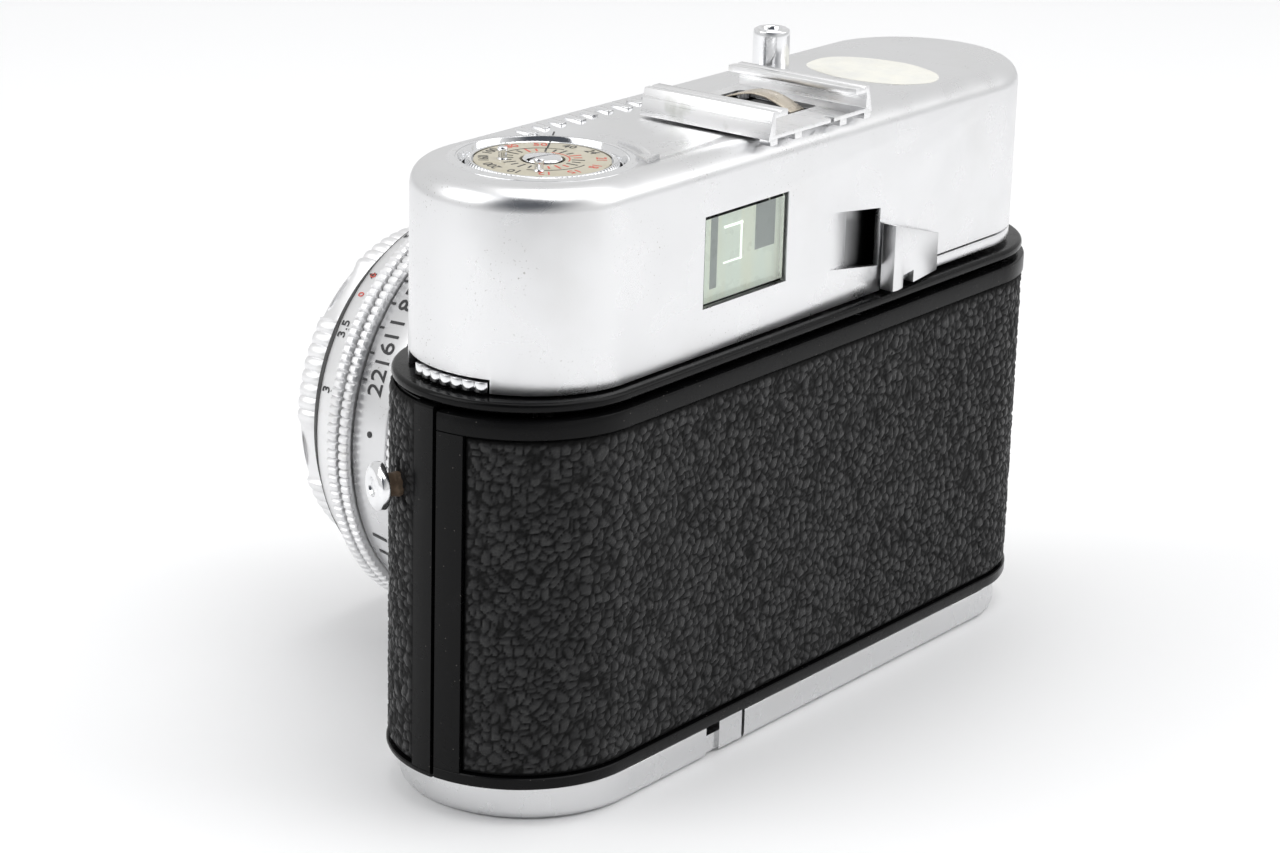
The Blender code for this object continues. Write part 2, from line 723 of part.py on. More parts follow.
def spring(name, at, radius, low, high, turns):
    """A coil of thin wire."""
    per_turn = 10
    curve = bpy.data.curves.new(name, "CURVE")
    curve.dimensions = "3D"
    curve.bevel_depth = 0.22 * MM
    curve.bevel_resolution = 0
    curve.use_fill_caps = True
    spline = curve.splines.new("POLY")
    count = turns * per_turn
    spline.points.add(count)
    for i, point in enumerate(spline.points):
        angle = 2 * pi * i / per_turn
        height = low + (high - low) * i / count
        x, y = at[0] + radius * cos(angle), at[1] + radius * sin(angle)
        point.co = (x * MM, y * MM, height * MM, 1)
    return add_object(name, curve, "steel")


def rewind_catch():
    outline = catch_outline(COVER_RADIUS - 1.9, COVER_RADIUS + 0.45, -27, 20)
    catch = slab("rewind_catch", outline, COVER_LOW + 0.05, COVER_LOW + 1.3, "polished_chrome")
    hang_on("catch_slide", (COVER_END_X, 0, 0), catch)


# ---------------------------------------------------------------- release and advance


def release():
    x, y = BUTTON_AT
    top = BUTTON_HIGH
    profile = [(0, top - 3.6), (1.1, top - 3.2), (1.3, top), (BUTTON_RADIUS - 0.3, top)]
    profile += [(BUTTON_RADIUS, top - 0.3), (BUTTON_RADIUS, 68.8), (1.2, 68.8), (1.2, 58.0), (0, 58.0)]
    button = turned("release_button", profile, (x, y, 0), "polished_chrome", steps=20)
    hang_on("release_travel", (x, y, 0), button)
    ring("release_collar", 2.42, 3.3, 73.2, COVER_HIGH + 0.7, (x, y, 0), "polished_chrome", steps=20)
    bracket = block("release_bracket", (x - 3.5, y - 3, 60.5), (x + 3.5, y + 3, 61.5), "brass")
    add(bracket, block("bracket_leg", (x - 3.5, y - 3, 51.0), (x - 2.5, y + 3, 61.0)))
    cut(bracket, rod("bracket_hole", (x, y, 59), (x, y, 63), 1.5))
    spring("release_spring", (x, y), 1.8, 62.1, 68.2, 4)


def lever_outline():
    """The arm: a fan from the hub to the thumb piece, flush with the back of the cover."""
    edge = COVER_RADIUS - 0.05
    points = [(LEVER_ARM_END, 10.8), (LEVER_ARM_END, edge)]
    points += arc((LEVER_X, 0), edge, 90, 150, 6)
    points += arc((LEVER_X, 0), 5.0, 160, 380, 10)
    return points


def advance_lever():
    low, high = COVER_LOW + 0.3, COVER_LOW + 1.7
    lever = slab("advance_lever", lever_outline(), low, high, "polished_chrome")
    fin_x, plate_end = -12.2, -24.5
    surface = COVER_RADIUS + 0.3
    outside = COVER_RADIUS + 2.35
    thumb = [
        (fin_x, surface),
        (fin_x, outside),
        (fin_x - 0.9, outside),
        (plate_end, surface + 0.35),
        (plate_end, surface),
    ]
    plate = slab("thumb_plate", thumb, low, 60.2)
    above_slope = [(fin_x + 1, 60.0), (fin_x + 1, 63), (-26, 63), (-26, 55.6)]
    slope = slab("thumb_slope", above_slope, 12, 18, along="Y")
    cut(plate, slope)
    bridge = block("thumb_bridge", (-20, COVER_RADIUS - 1.5, low), (LEVER_ARM_END, surface + 0.2, high))
    add(lever, plate, bridge)
    shaft = rod("advance_shaft", (LEVER_X, 0, 52.95), (LEVER_X, 0, 62.0), 2.2, "steel")
    driver, idler, driven = advance_gears()
    hang_on("lever_turn", (LEVER_X, 0, 0), lever, shaft, driver)
    hang_on("idler_turn", (*idler_place(), 0), idler)
    hang_on("sprocket_turn", (*SPROCKET_AT, 0), sprocket(driven))
    hang_on("spool_turn", (LEVER_X, 0, 0), takeup_spool())


def bearing_of(start, end):
    line = end - start
    return degrees(atan2(line.y, line.x))


def idler_place():
    """The idler meets both gears, so it stands on two circles round their centres."""
    lever_at, sprocket_at = Vector((LEVER_X, 0)), Vector(SPROCKET_AT)
    to_lever = GEAR_MODULE * (LEVER_TEETH + PINION_TEETH) / 2
    to_sprocket = GEAR_MODULE * PINION_TEETH
    line = sprocket_at - lever_at
    length = line.length
    share = (to_lever**2 - to_sprocket**2 + length**2) / (2 * length)
    aside = sqrt(to_lever**2 - share**2)
    forward = line / length
    return lever_at + forward * share + Vector((forward.y, -forward.x)) * aside


def advance_gears():
    """The lever's gear turns an idler, which turns the sprocket the same way as the lever."""
    lever_at, idler_at, sprocket_at = Vector((LEVER_X, 0)), idler_place(), Vector(SPROCKET_AT)
    turn = bearing_of(lever_at, idler_at)
    driver = slab("advance_gear", gear_outline(lever_at, LEVER_TEETH, turn), *GEAR_Z, "brass")
    turn = meshing_turn(turn, turn, LEVER_TEETH, PINION_TEETH)
    idler = slab("idler_gear", gear_outline(idler_at, PINION_TEETH, turn), *GEAR_Z, "brass")
    turn = meshing_turn(bearing_of(idler_at, sprocket_at), turn, PINION_TEETH, PINION_TEETH)
    driven = slab("sprocket_gear", gear_outline(sprocket_at, PINION_TEETH, turn), *GEAR_Z)
    cut(driver, rod("advance_gear_bore", (LEVER_X, 0, 50), (LEVER_X, 0, 60), 2.5))
    cut(idler, rod("idler_bore", (*idler_at, 50), (*idler_at, 60), 1.2))
    return driver, idler, driven


def sprocket(gear):
    """A spindle with a film wheel near each end; its gear stands above the deck."""
    profile = [(0, 56.0), (1.5, 56.0), (1.5, 47.5), (3.4, 47.5)]
    wheels = ((44.9, 42.4), (14.8, 12.3))
    for high, low in wheels:
        profile += [(3.4, high), (SPROCKET_RADIUS, high), (SPROCKET_RADIUS, low), (3.4, low)]
    profile += [(3.4, 5.8), (0, 5.8)]
    spindle = turned("film_sprocket", profile, (*SPROCKET_AT, 0), "polished_chrome", steps=24)
    return add(spindle, gear)


def takeup_spool():
    profile = [(0, 49.3), (2.0, 49.3), (2.0, 47.6), (7.4, 47.6), (7.4, 46.8), (SPOOL_RADIUS, 46.8)]
    profile += [(SPOOL_RADIUS, 8.2), (7.4, 8.2), (7.4, 7.4), (2.0, 7.4), (2.0, 5.8), (0, 5.8)]
    spool = turned("takeup_spool", profile, (LEVER_X, 0, 0), "matt_black", steps=24)
    return cut(spool, block("spool_slot", (LEVER_X - 0.5, -1.0, 12), (LEVER_X + 0.5, 8, 42)))


# ---------------------------------------------------------------- lens and shutter


def shutter():
    lens_ring("lens_mount_flange", 17.9, 25.0, 15.8, 18.9, "polished_chrome")
    profile = [(HOUSING_BORE, 41.3), (HOUSING_RADIUS, 41.3), (HOUSING_RADIUS, 19.2), (TAIL_RADIUS, 19.2)]
    profile += [(TAIL_RADIUS, 13.0), (16.2, 13.0), (16.2, 20.4), (HOUSING_BORE, 20.4)]
    lens_piece("shutter_housing", profile, "satin_chrome")
    band_profile = [(24.4, 36.45), (26.3, 36.45), (27.3, 30.2), (24.4, 30.2)]
    lens_piece("aperture_scale", band_profile, "satin_chrome")
    glass = [(0, 18.6), (8, 18.2), (15.9, 16.8), (15.9, 15.6), (8, 14.6), (0, 14.3)]
    lens_piece("rear_lens_element", glass, "optical_glass", 24)
    lens_ring("shutter_plate", 7.5, 22.5, 22.6, 23.6, "steel")
    lens_ring("iris_diaphragm", 6.6, 22.5, 26.6, 27.2, "matt_black")


def setting_rings():
    """Three knurled rings that turn on the housing, from the front: speed, aperture and sync."""
    rings = (
        ("speed_ring", 27.3, 38.5, 40.3),
        ("aperture_ring", 27.3, 36.7, 38.25),
        ("sync_ring", 27.9, 26.2, 29.9),
    )
    for name, outer, rear, front in rings:
        piece = lens_ring(name, RING_BORE, outer, rear, front, "polished_chrome")
        hang_on(name + "_turn", (LENS_X, -rear, LENS_Z), piece)


def shutter_blades():
    """Two thin blades that swing apart. Each covers a little over half of the opening."""
    arm_x, arm_z = BLADE_PIVOT
    for i, sign in enumerate((1, -1)):
        rear = 24.1 + 0.6 * i
        piece = blade(f"shutter_blade_{i + 1}", sign, rear)
        hang_on(f"blade_pivot_{i + 1}", (LENS_X + sign * arm_x, -rear, LENS_Z + arm_z), piece)


def blade(name, sign, rear):
    """A half disc on an arm, seen from the front of the camera."""
    arm_x, arm_z = BLADE_PIVOT
    reach, overlap, thick = 8.3, 0.6, 0.25
    outline = [(overlap, reach * 0.99)]
    outline += arc((0, 0), reach, 95, 240, 10)
    outline += [(-arm_x - 1.5, arm_z + 1.0), (-arm_x - 1.0, arm_z - 1.4), (-arm_x + 1.4, arm_z - 1.2)]
    outline += [(-1.2, -reach), (overlap, -reach)]
    placed = [(LENS_X - sign * x, LENS_Z + z) for x, z in outline]
    return slab(name, placed, -rear - thick, -rear, "steel", along="Y")


def focusing_front():
    """The focusing ring with its scale, and the front lens cell that it moves to and fro."""
    profile = [(17.6, 51.0), (20.6, 51.0), (21.8, 50.4), (21.8, 47.1), (21.2, 47.1), (21.2, 46.5)]
    profile += [(22.4, 46.5), (24.3, 44.3), (25.0, 41.6), (17.6, 41.6)]
    focus = lens_piece("focus_ring", profile, "satin_chrome")
    hang_on("focus_turn", (LENS_X, -41.6, LENS_Z), focus)
    barrel = [(12.3, 48.6), (15.0, 50.2), (17.3, 50.2), (17.3, 29.0), (12.3, 29.0)]
    cell = lens_piece("lens_barrel", barrel, "matt_black")
    glass = [(0, 48.0), (6, 47.5), (12.0, 45.6), (12.0, 44.0), (6, 43.4), (0, 43.2)]
    front = lens_piece("front_lens_element", glass, "optical_glass", 24)
    hang_on("cell_slide", (LENS_X, -29.0, LENS_Z), cell, front)


# ---------------------------------------------------------------- assembly


def build():
    front_shell()
    front_leather()
    strap_lugs()
    chassis()
    film_gate()
    back_door()
    base()
    top_cover()
    finder()
    accessory_shoe()
    rewind()
    rewind_catch()
    release()
    advance_lever()
    shutter()
    setting_rings()
    shutter_blades()
    focusing_front()


build()
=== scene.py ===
"""The looks of a compact viewfinder camera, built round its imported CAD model.

Sizes are in millimetres in the row frame: +Z up, +Y the camera's back, +X the rewind end.
Main sizes come from the frame's own boxes; the numbers given here are finer detail.
"""

from math import atan2, cos, pi, radians, sin

import bmesh
import bpy
from mathutils import Matrix, Vector, noise

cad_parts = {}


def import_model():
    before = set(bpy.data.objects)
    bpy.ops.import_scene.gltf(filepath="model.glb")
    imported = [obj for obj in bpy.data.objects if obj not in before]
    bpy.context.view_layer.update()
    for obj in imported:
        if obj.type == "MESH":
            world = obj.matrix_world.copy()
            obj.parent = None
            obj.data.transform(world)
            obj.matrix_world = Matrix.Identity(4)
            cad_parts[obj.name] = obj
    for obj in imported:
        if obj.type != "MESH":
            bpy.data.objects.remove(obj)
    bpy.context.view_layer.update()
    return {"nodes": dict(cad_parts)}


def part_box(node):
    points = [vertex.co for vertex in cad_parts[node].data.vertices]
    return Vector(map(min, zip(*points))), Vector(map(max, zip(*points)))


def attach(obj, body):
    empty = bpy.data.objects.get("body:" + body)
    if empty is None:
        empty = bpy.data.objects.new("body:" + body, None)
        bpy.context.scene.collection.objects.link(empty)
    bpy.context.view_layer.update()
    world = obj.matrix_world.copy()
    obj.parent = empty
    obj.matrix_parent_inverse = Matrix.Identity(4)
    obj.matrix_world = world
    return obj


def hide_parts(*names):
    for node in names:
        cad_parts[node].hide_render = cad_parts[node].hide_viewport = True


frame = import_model()

MM = 0.001
TURN = 2 * pi


def box(node):
    low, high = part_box(node)
    return low / MM, high / MM


# ---------------------------------------------------------------- sizes from the frame

COVER_LOW, COVER_HIGH = box("top_cover")
COVER_RADIUS = COVER_HIGH.y
COVER_END = COVER_HIGH.x - COVER_RADIUS
COVER_FILLET = 2.6
COVER_WALL = 0.8
BODY_RADIUS = box("back_door")[1].y
BODY_END = box("back_door")[1].x - BODY_RADIUS
BASE_LOW, BASE_HIGH = box("base_plate")
BASE_RADIUS = BASE_HIGH.y
BASE_END = -BASE_LOW.x - BASE_RADIUS
DECK_LOW, DECK_HIGH = box("chassis_deck")
KNOB_LOW, KNOB_HIGH = box("rewind_knob")
KNOB_X = (KNOB_LOW.x + KNOB_HIGH.x) / 2
HOUSING_LOW, HOUSING_HIGH = box("shutter_housing")
LENS_X = (HOUSING_LOW.x + HOUSING_HIGH.x) / 2
LENS_Z = (HOUSING_LOW.z + HOUSING_HIGH.z) / 2
BUTTON_LOW, BUTTON_HIGH = box("release_button")
BUTTON_X = (BUTTON_LOW.x + BUTTON_HIGH.x) / 2
BUTTON_Y = (BUTTON_LOW.y + BUTTON_HIGH.y) / 2
SHOE_LOW, SHOE_HIGH = box("accessory_shoe")
SHOE_X = (SHOE_LOW.x + SHOE_HIGH.x) / 2
LEVER_X = -COVER_END
SEAM = radians(1.0)

LENS_PLACE = Matrix.Translation((LENS_X, 0, LENS_Z)) @ Matrix.Rotation(pi / 2, 4, "X")


# ---------------------------------------------------------------- materials


class Surface:
    """A Principled material, with short calls that add procedural detail to it."""

    def __init__(self, name, colour, roughness, metallic=0.0):
        self.material = bpy.data.materials.new(name)
        self.material.use_nodes = True
        self.tree = self.material.node_tree
        self.shader = self.tree.nodes["Principled BSDF"]
        self.normal = None
        self.set("Base Color", (*colour, 1.0))
        self.set("Roughness", roughness)
        self.set("Metallic", metallic)
        self.coords = self.tree.nodes.new("ShaderNodeTexCoord").outputs["Object"]

    def set(self, socket, value):
        self.shader.inputs[socket].default_value = value
        return self

    def scaled(self, size, stretch):
        """Object coordinates, so that one unit is a feature of this size."""
        mapping = self.tree.nodes.new("ShaderNodeMapping")
        mapping.inputs["Scale"].default_value = [1 / (size * s * MM) for s in stretch]
        self.tree.links.new(self.coords, mapping.inputs["Vector"])
        return mapping.outputs["Vector"]

    def noise(self, size, detail=3.0, stretch=(1, 1, 1)):
        texture = self.tree.nodes.new("ShaderNodeTexNoise")
        texture.inputs["Scale"].default_value = 1.0
        texture.inputs["Detail"].default_value = detail
        self.tree.links.new(self.scaled(size, stretch), texture.inputs["Vector"])
        return texture.outputs["Fac"]

    def cells(self, size, feature="F1", stretch=(1, 1, 1)):
        texture = self.tree.nodes.new("ShaderNodeTexVoronoi")
        texture.feature = feature
        texture.inputs["Scale"].default_value = 1.0
        self.tree.links.new(self.scaled(size, stretch), texture.inputs["Vector"])
        return texture.outputs["Distance"]

    def span(self, value, low, high, to_low=0.0, to_high=1.0):
        node = self.tree.nodes.new("ShaderNodeMapRange")
        self.tree.links.new(value, node.inputs["Value"])
        for socket, number in zip(("From Min", "From Max", "To Min", "To Max"), (low, high, to_low, to_high)):
            node.inputs[socket].default_value = number
        return node.outputs["Result"]

    def stored(self, name):
        """A number that the mesh holds at each of its points."""
        node = self.tree.nodes.new("ShaderNodeAttribute")
        node.attribute_name = name
        return node.outputs["Fac"]

    def along(self, axis):
        """One of the object coordinates."""
        node = self.tree.nodes.new("ShaderNodeSeparateXYZ")
        self.tree.links.new(self.coords, node.inputs["Vector"])
        return node.outputs[axis]

    def times(self, first, second):
        node = self.tree.nodes.new("ShaderNodeMath")
        node.operation = "MULTIPLY"
        self.tree.links.new(first, node.inputs[0])
        self.tree.links.new(second, node.inputs[1])
        return node.outputs["Value"]

    def tint(self, factor, colour):
        """Mixes another colour in by a factor, over what the base colour has so far."""
        node = self.tree.nodes.new("ShaderNodeMix")
        node.data_type = "RGBA"
        base = self.shader.inputs["Base Color"]
        if base.is_linked:
            self.tree.links.new(base.links[0].from_socket, node.inputs["A"])
        else:
            node.inputs["A"].default_value = base.default_value
        node.inputs["B"].default_value = (*colour, 1.0)
        self.tree.links.new(factor, node.inputs["Factor"])
        self.tree.links.new(node.outputs["Result"], base)
        return self

    def rough(self, value, low, high, to_low, to_high):
        self.tree.links.new(self.span(value, low, high, to_low, to_high), self.shader.inputs["Roughness"])
        return self

    def bump(self, height, depth):
        node = self.tree.nodes.new("ShaderNodeBump")
        node.inputs["Distance"].default_value = depth * MM
        self.tree.links.new(height, node.inputs["Height"])
        if self.normal is not None:
            self.tree.links.new(self.normal, node.inputs["Normal"])
        self.normal = node.outputs["Normal"]
        self.tree.links.new(self.normal, self.shader.inputs["Normal"])
        return self


def satin_chrome(name="satin_chrome_skin", shade=0.80):
    """Blasted chrome: fine grain, handling marks and small dark pits in patches."""
    s = Surface(name, (shade, shade * 1.003, shade * 1.012), 0.3, 1.0)
    s.rough(s.noise(7.0, 4.0), 0.3, 0.7, 0.24, 0.36)
    pits = s.span(s.noise(0.28, 2.0), 0.66, 0.74)
    patches = s.span(s.noise(9.0, 3.0), 0.5, 0.68)
    s.tint(s.times(pits, patches), (0.30, 0.28, 0.25))
    s.tint(s.span(s.noise(14.0, 5.0), 0.52, 0.8, 0.0, 0.25), (0.62, 0.61, 0.58))
    s.bump(s.noise(0.16, 2.0), 0.006)
    return s.bump(s.noise(1.5, 3.0, (6, 6, 1)), 0.002).material


def polished_chrome():
    s = Surface("polished_chrome_skin", (0.83, 0.835, 0.845), 0.12, 1.0)
    s.rough(s.noise(2.5, 4.0), 0.3, 0.75, 0.07, 0.2)
    s.tint(s.span(s.noise(0.8, 4.0), 0.6, 0.78, 0.0, 0.5), (0.5, 0.48, 0.44))
    return s.bump(s.noise(0.5, 3.0), 0.002).material


def shoe_alloy():
    """Extruded alloy with long drawing lines and a few stains."""
    s = Surface("shoe_alloy_skin", (0.84, 0.84, 0.845), 0.3, 1.0)
    s.rough(s.noise(0.35, 3.0, (1, 40, 1)), 0.3, 0.7, 0.22, 0.42)
    s.tint(s.span(s.noise(3.0, 4.0), 0.6, 0.8, 0.0, 0.5), (0.42, 0.44, 0.38))
    return s.bump(s.noise(0.2, 2.0, (1, 60, 1)), 0.006).material


def black_enamel():
    """Gloss enamel with a faint orange peel, dust and rubbed spots."""
    s = Surface("black_enamel_skin", (0.003, 0.003, 0.0032), 0.3)
    s.set("Specular IOR Level", 0.10).set("Coat Weight", 0.06).set("Coat Roughness", 0.06)
    s.rough(s.noise(3.0, 4.0), 0.3, 0.75, 0.18, 0.34)
    s.tint(s.span(s.cells(1.1), 0.07, 0.03), (0.12, 0.11, 0.10))
    s.tint(s.span(s.noise(5.0, 4.0), 0.6, 0.8, 0.0, 0.5), (0.010, 0.010, 0.011))
    return s.bump(s.noise(0.9, 3.0), 0.012).material


def leatherette():
    """Black grained covering: the mesh holds the pebbles and how high they are, and the pores are here. Painted
    shade darkens the creases and a painted highlight lightens the highest pebble tops.
    """
    s = Surface("leatherette_skin", (0.001, 0.001, 0.001), 0.42)
    s.set("Specular IOR Level", 0.2)
    height = s.stored(GRAIN_NAME)
    s.rough(height, 0.2, 0.8, 0.75, 0.32)
    # Painted shade: creases stay near black while pebble tops turn grey.
    s.tint(s.span(height, 0.05, 0.6), (0.020, 0.020, 0.0205))
    # Painted highlight on the highest pebble tops.
    s.tint(s.span(height, 0.75, 1.0, 0.0, 0.5), (0.055, 0.055, 0.054))
    s.tint(s.span(s.noise(9.0, 5.0), 0.5, 0.75, 0.0, 0.25), (0.02, 0.02, 0.02))
    s.bump(s.noise(0.45, 4.0), 0.10)
    return s.bump(s.cells(0.3), 0.03).material


def matt_black(name="matt_black_paint", shade=0.022):
    s = Surface(name, (shade, shade, shade * 1.02), 0.7)
    s.rough(s.noise(2.0, 4.0), 0.3, 0.7, 0.55, 0.8)
    s.tint(s.span(s.noise(1.6, 5.0), 0.62, 0.8, 0.0, 0.6), (0.07, 0.068, 0.065))
    return s.bump(s.noise(0.18, 3.0), 0.012).material


def steel():
    s = Surface("bare_steel", (0.52, 0.52, 0.53), 0.32, 1.0)
    s.rough(s.noise(0.8, 4.0, (1, 1, 5)), 0.3, 0.7, 0.2, 0.42)
    s.tint(s.span(s.noise(2.0, 5.0), 0.58, 0.8, 0.0, 0.6), (0.26, 0.22, 0.17))
    return s.bump(s.noise(0.2, 3.0, (1, 1, 8)), 0.004).material


def tarnished():
    """Brown corroded metal, for the stems of the strap lugs."""
    s = Surface("tarnished_stem", (0.13, 0.09, 0.06), 0.55, 0.6)
    s.rough(s.noise(0.5, 4.0), 0.3, 0.7, 0.4, 0.75)
    s.tint(s.span(s.noise(0.6, 4.0), 0.45, 0.7), (0.07, 0.05, 0.03))
    return s.bump(s.noise(0.3, 4.0), 0.05).material


def brass():
    s = Surface("old_brass", (0.60, 0.44, 0.20), 0.32, 1.0)
    s.rough(s.noise(0.8, 4.0), 0.3, 0.7, 0.2, 0.45)
    s.tint(s.span(s.noise(1.8, 4.0), 0.5, 0.8, 0.0, 0.7), (0.32, 0.22, 0.10))
    return s.bump(s.noise(0.3, 3.0), 0.004).material


def dial_paint():
    s = Surface("aged_cream_paint", (0.50, 0.465, 0.37), 0.42)
    s.rough(s.noise(1.5, 4.0), 0.3, 0.7, 0.34, 0.52)
    s.tint(s.span(s.noise(2.4, 5.0), 0.5, 0.8, 0.0, 0.5), (0.42, 0.37, 0.26))
    s.tint(s.span(s.noise(0.3, 3.0), 0.66, 0.74, 0.0, 0.6), (0.36, 0.30, 0.20))
    return s.bump(s.noise(0.4, 3.0), 0.004).material


def print_ink(name, colour):
    s = Surface(name, colour, 0.5)
    s.rough(s.noise(0.6, 3.0), 0.3, 0.7, 0.4, 0.6)
    s.tint(s.span(s.noise(0.35, 4.0), 0.6, 0.78, 0.0, 0.5), tuple(min(1.0, c * 2 + 0.1) for c in colour))
    return s.bump(s.noise(0.15, 2.0), 0.003).material


def glass(name, tint):
    s = Surface(name, tint, 0.04)
    s.set("Transmission Weight", 1.0).set("IOR", 1.5)
    s.rough(s.noise(3.0, 5.0), 0.4, 0.75, 0.02, 0.12)
    return s.bump(s.noise(4.0, 2.0), 0.003).material


def old_glue():
    """A thin dried smear of glue, which the chrome shows through."""
    s = Surface("old_glue", (0.80, 0.79, 0.72), 0.35)
    s.rough(s.noise(1.5, 4.0), 0.3, 0.7, 0.3, 0.55)
    s.tint(s.span(s.noise(3.0, 5.0), 0.4, 0.7), (0.74, 0.74, 0.70))
    return s.bump(s.noise(1.2, 4.0), 0.08).material


def finder_screen():
    """The pale mirror inside the finder: its emission is a painted glow that stands in for the light coming through
    from the front.
    """
    s = Surface("finder_screen", (0.60, 0.63, 0.57), 0.3)
    # Painted glow: emission on a part that is no lamp.
    s.set("Emission Color", (0.64, 0.66, 0.59, 1.0)).set("Emission Strength", 0.42)
    s.rough(s.noise(3.0, 3.0), 0.3, 0.7, 0.22, 0.4)
    s.tint(s.span(s.noise(5.0, 2.0, (0.5, 1, 3)), 0.4, 0.65, 0.0, 0.7), (0.66, 0.62, 0.48))
    return s.bump(s.noise(2.0, 2.0), 0.01).material


def frame_line_glow():
    """The bright frame lines: their emission is a painted glow standing in for the light of their own window."""
    s = Surface("frame_line_painted_glow", (0.9, 0.9, 0.88), 0.5)
    # Painted glow: emission on lines that are no lamp.
    s.set("Emission Color", (1.0, 1.0, 0.98, 1.0)).set("Emission Strength", 0.9)
    s.rough(s.noise(0.6, 3.0), 0.3, 0.7, 0.4, 0.6)
    return s.bump(s.noise(0.15, 2.0), 0.003).material


def bead_metal():
    """The chrome of the setting rings, worn soft and even."""
    s = Surface("bead_chrome", (0.85, 0.85, 0.855), 0.42, 1.0)
    s.rough(s.noise(2.0, 3.0), 0.3, 0.7, 0.38, 0.48)
    s.tint(s.span(s.noise(3.0, 4.0), 0.62, 0.8, 0.0, 0.3), (0.62, 0.60, 0.54))
    return s.bump(s.noise(0.5, 2.0), 0.002).material


def spring_strip():
    s = Surface("tan_spring_strip", (0.62, 0.56, 0.47), 0.3, 1.0)
    s.rough(s.noise(0.8, 4.0), 0.3, 0.7, 0.22, 0.42)
    s.tint(s.span(s.noise(1.6, 4.0), 0.55, 0.8, 0.0, 0.7), (0.36, 0.30, 0.22))
    return s.bump(s.noise(0.3, 3.0), 0.004).material


def hollow_chrome_painted_shade(light_end, dark_end):
    """Chrome with painted shade that grows dark towards the deep end of the thumb hollow, by the lever's fin."""
    s = Surface("hollow_chrome_painted_shade", (0.78, 0.78, 0.79), 0.3, 1.0)
    s.rough(s.noise(3.0, 3.0), 0.3, 0.7, 0.26, 0.38)
    # Painted shade: near black towards the deep end of the hollow.
    s.tint(s.span(s.along("X"), light_end * MM, dark_end * MM), (0.004, 0.004, 0.004))
    return s.bump(s.noise(0.3, 2.0), 0.004).material


GRAIN_NAME = "grain_height"
SATIN = satin_chrome(shade=0.78)
SATIN_GREY = satin_chrome("satin_chrome_grey", 0.70)
POLISHED = polished_chrome()
ALLOY = shoe_alloy()
ENAMEL = black_enamel()
LEATHER = leatherette()
MATT = matt_black()
# DARK is real black on the iris, shutter housing and lens bore, painted shade in the shoe opening, screw slot and
# lens grooves, and a painted dark reflection on the focus neck.
DARK = matt_black("black_and_painted_shade", 0.012)
STEEL = steel()
TARNISH = tarnished()
BRASS = brass()
CREAM = dial_paint()
SCREEN_GREY = matt_black("screen_panel_grey", 0.42)
BLACK_INK = print_ink("black_ink", (0.025, 0.025, 0.027))
RED_INK = print_ink("red_ink", (0.62, 0.07, 0.045))
CLEAR = glass("finder_pane", (0.90, 0.96, 0.93))
COATED = glass("coated_lens_glass", (0.82, 0.84, 0.95))
GLUE = old_glue()
SCREEN_PAINTED_GLOW = finder_screen()
FRAME_LINE = frame_line_glow()
BEADS = bead_metal()
STRIP = spring_strip()


# ---------------------------------------------------------------- mesh tools


def settle(bm):
    bmesh.ops.remove_doubles(bm, verts=bm.verts, dist=1e-4)
    bmesh.ops.recalc_face_normals(bm, faces=bm.faces)


def piece(name, bm, surface, body, stands_for=(), sharp=32.0):
    """Makes an object of a mesh in millimetres, and joins it to the frame."""
    settle(bm)
    bmesh.ops.scale(bm, vec=(MM, MM, MM), verts=bm.verts)
    mesh = bpy.data.meshes.new(name)
    bm.to_mesh(mesh)
    bm.free()
    mesh.shade_smooth()
    mesh.set_sharp_from_angle(angle=radians(sharp))
    mesh.materials.append(surface)
    obj = bpy.data.objects.new(name, mesh)
    bpy.context.scene.collection.objects.link(obj)
    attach(obj, body)
    if stands_for:
        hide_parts(*stands_for)
    return obj


def soften(points, size, steps=3, closed=True):
    """Rounds every corner of an outline."""
    rounded = []
    count = len(points)
    for i, point in enumerate(points):
        if not closed and i in (0, count - 1):
            rounded.append(tuple(point))
            continue
        here = Vector(point)
        to_before = Vector(points[i - 1]) - here
        to_after = Vector(points[(i + 1) % count]) - here
        first = here + to_before.normalized() * min(size, to_before.length * 0.45)
        last = here + to_after.normalized() * min(size, to_after.length * 0.45)
        for step in range(steps + 1):
            t = step / steps
            rounded.append(tuple(first * (1 - t) ** 2 + here * 2 * t * (1 - t) + last * t * t))
    return rounded


def arc(centre, radius, first, last, steps):
    """Points on an arc, by angle in degrees."""
    points = []
    for i in range(steps + 1):
        angle = radians(first + (last - first) * i / steps)
        points.append((centre[0] + radius * cos(angle), centre[1] + radius * sin(angle)))
    return points


def sweep(bm, profile, stations, closed=True, loop=True, shape=None):
    """Carries a profile of (radius, height) points round stations of (centre x, angle).

    A looped profile is a closed section. One that isn't runs from one flat cap to another.
    """
    rows = []
    for i, (x, angle) in enumerate(stations):
        row = []
        for j, (radius, z) in enumerate(profile):
            if shape:
                radius, z = shape(i, j, radius, z)
            row.append(bm.verts.new((x + cos(angle) * radius, sin(angle) * radius, z)))
        rows.append(row)
    following = rows[1:] + rows[:1] if closed else rows[1:]
    for row, after in zip(rows, following):
        for j in range(len(profile) if loop else len(profile) - 1):
            k = (j + 1) % len(profile)
            bm.faces.new((row[j], after[j], after[k], row[k]))
    if loop and not closed:
        bm.faces.new(rows[0])
        bm.faces.new(rows[-1])
    if closed and not loop:
        for j in (0, -1):
            if profile[j][0] > 0:
                bm.faces.new([row[j] for row in rows])
    return rows


def circle(steps):
    return [(0.0, TURN * i / steps) for i in range(steps)]


def stadium(end_x, steps=28):
    right = [(end_x, radians(-90 + 180 * i / steps)) for i in range(steps + 1)]
    left = [(-end_x, radians(90 + 180 * i / steps)) for i in range(steps + 1)]
    return right + left


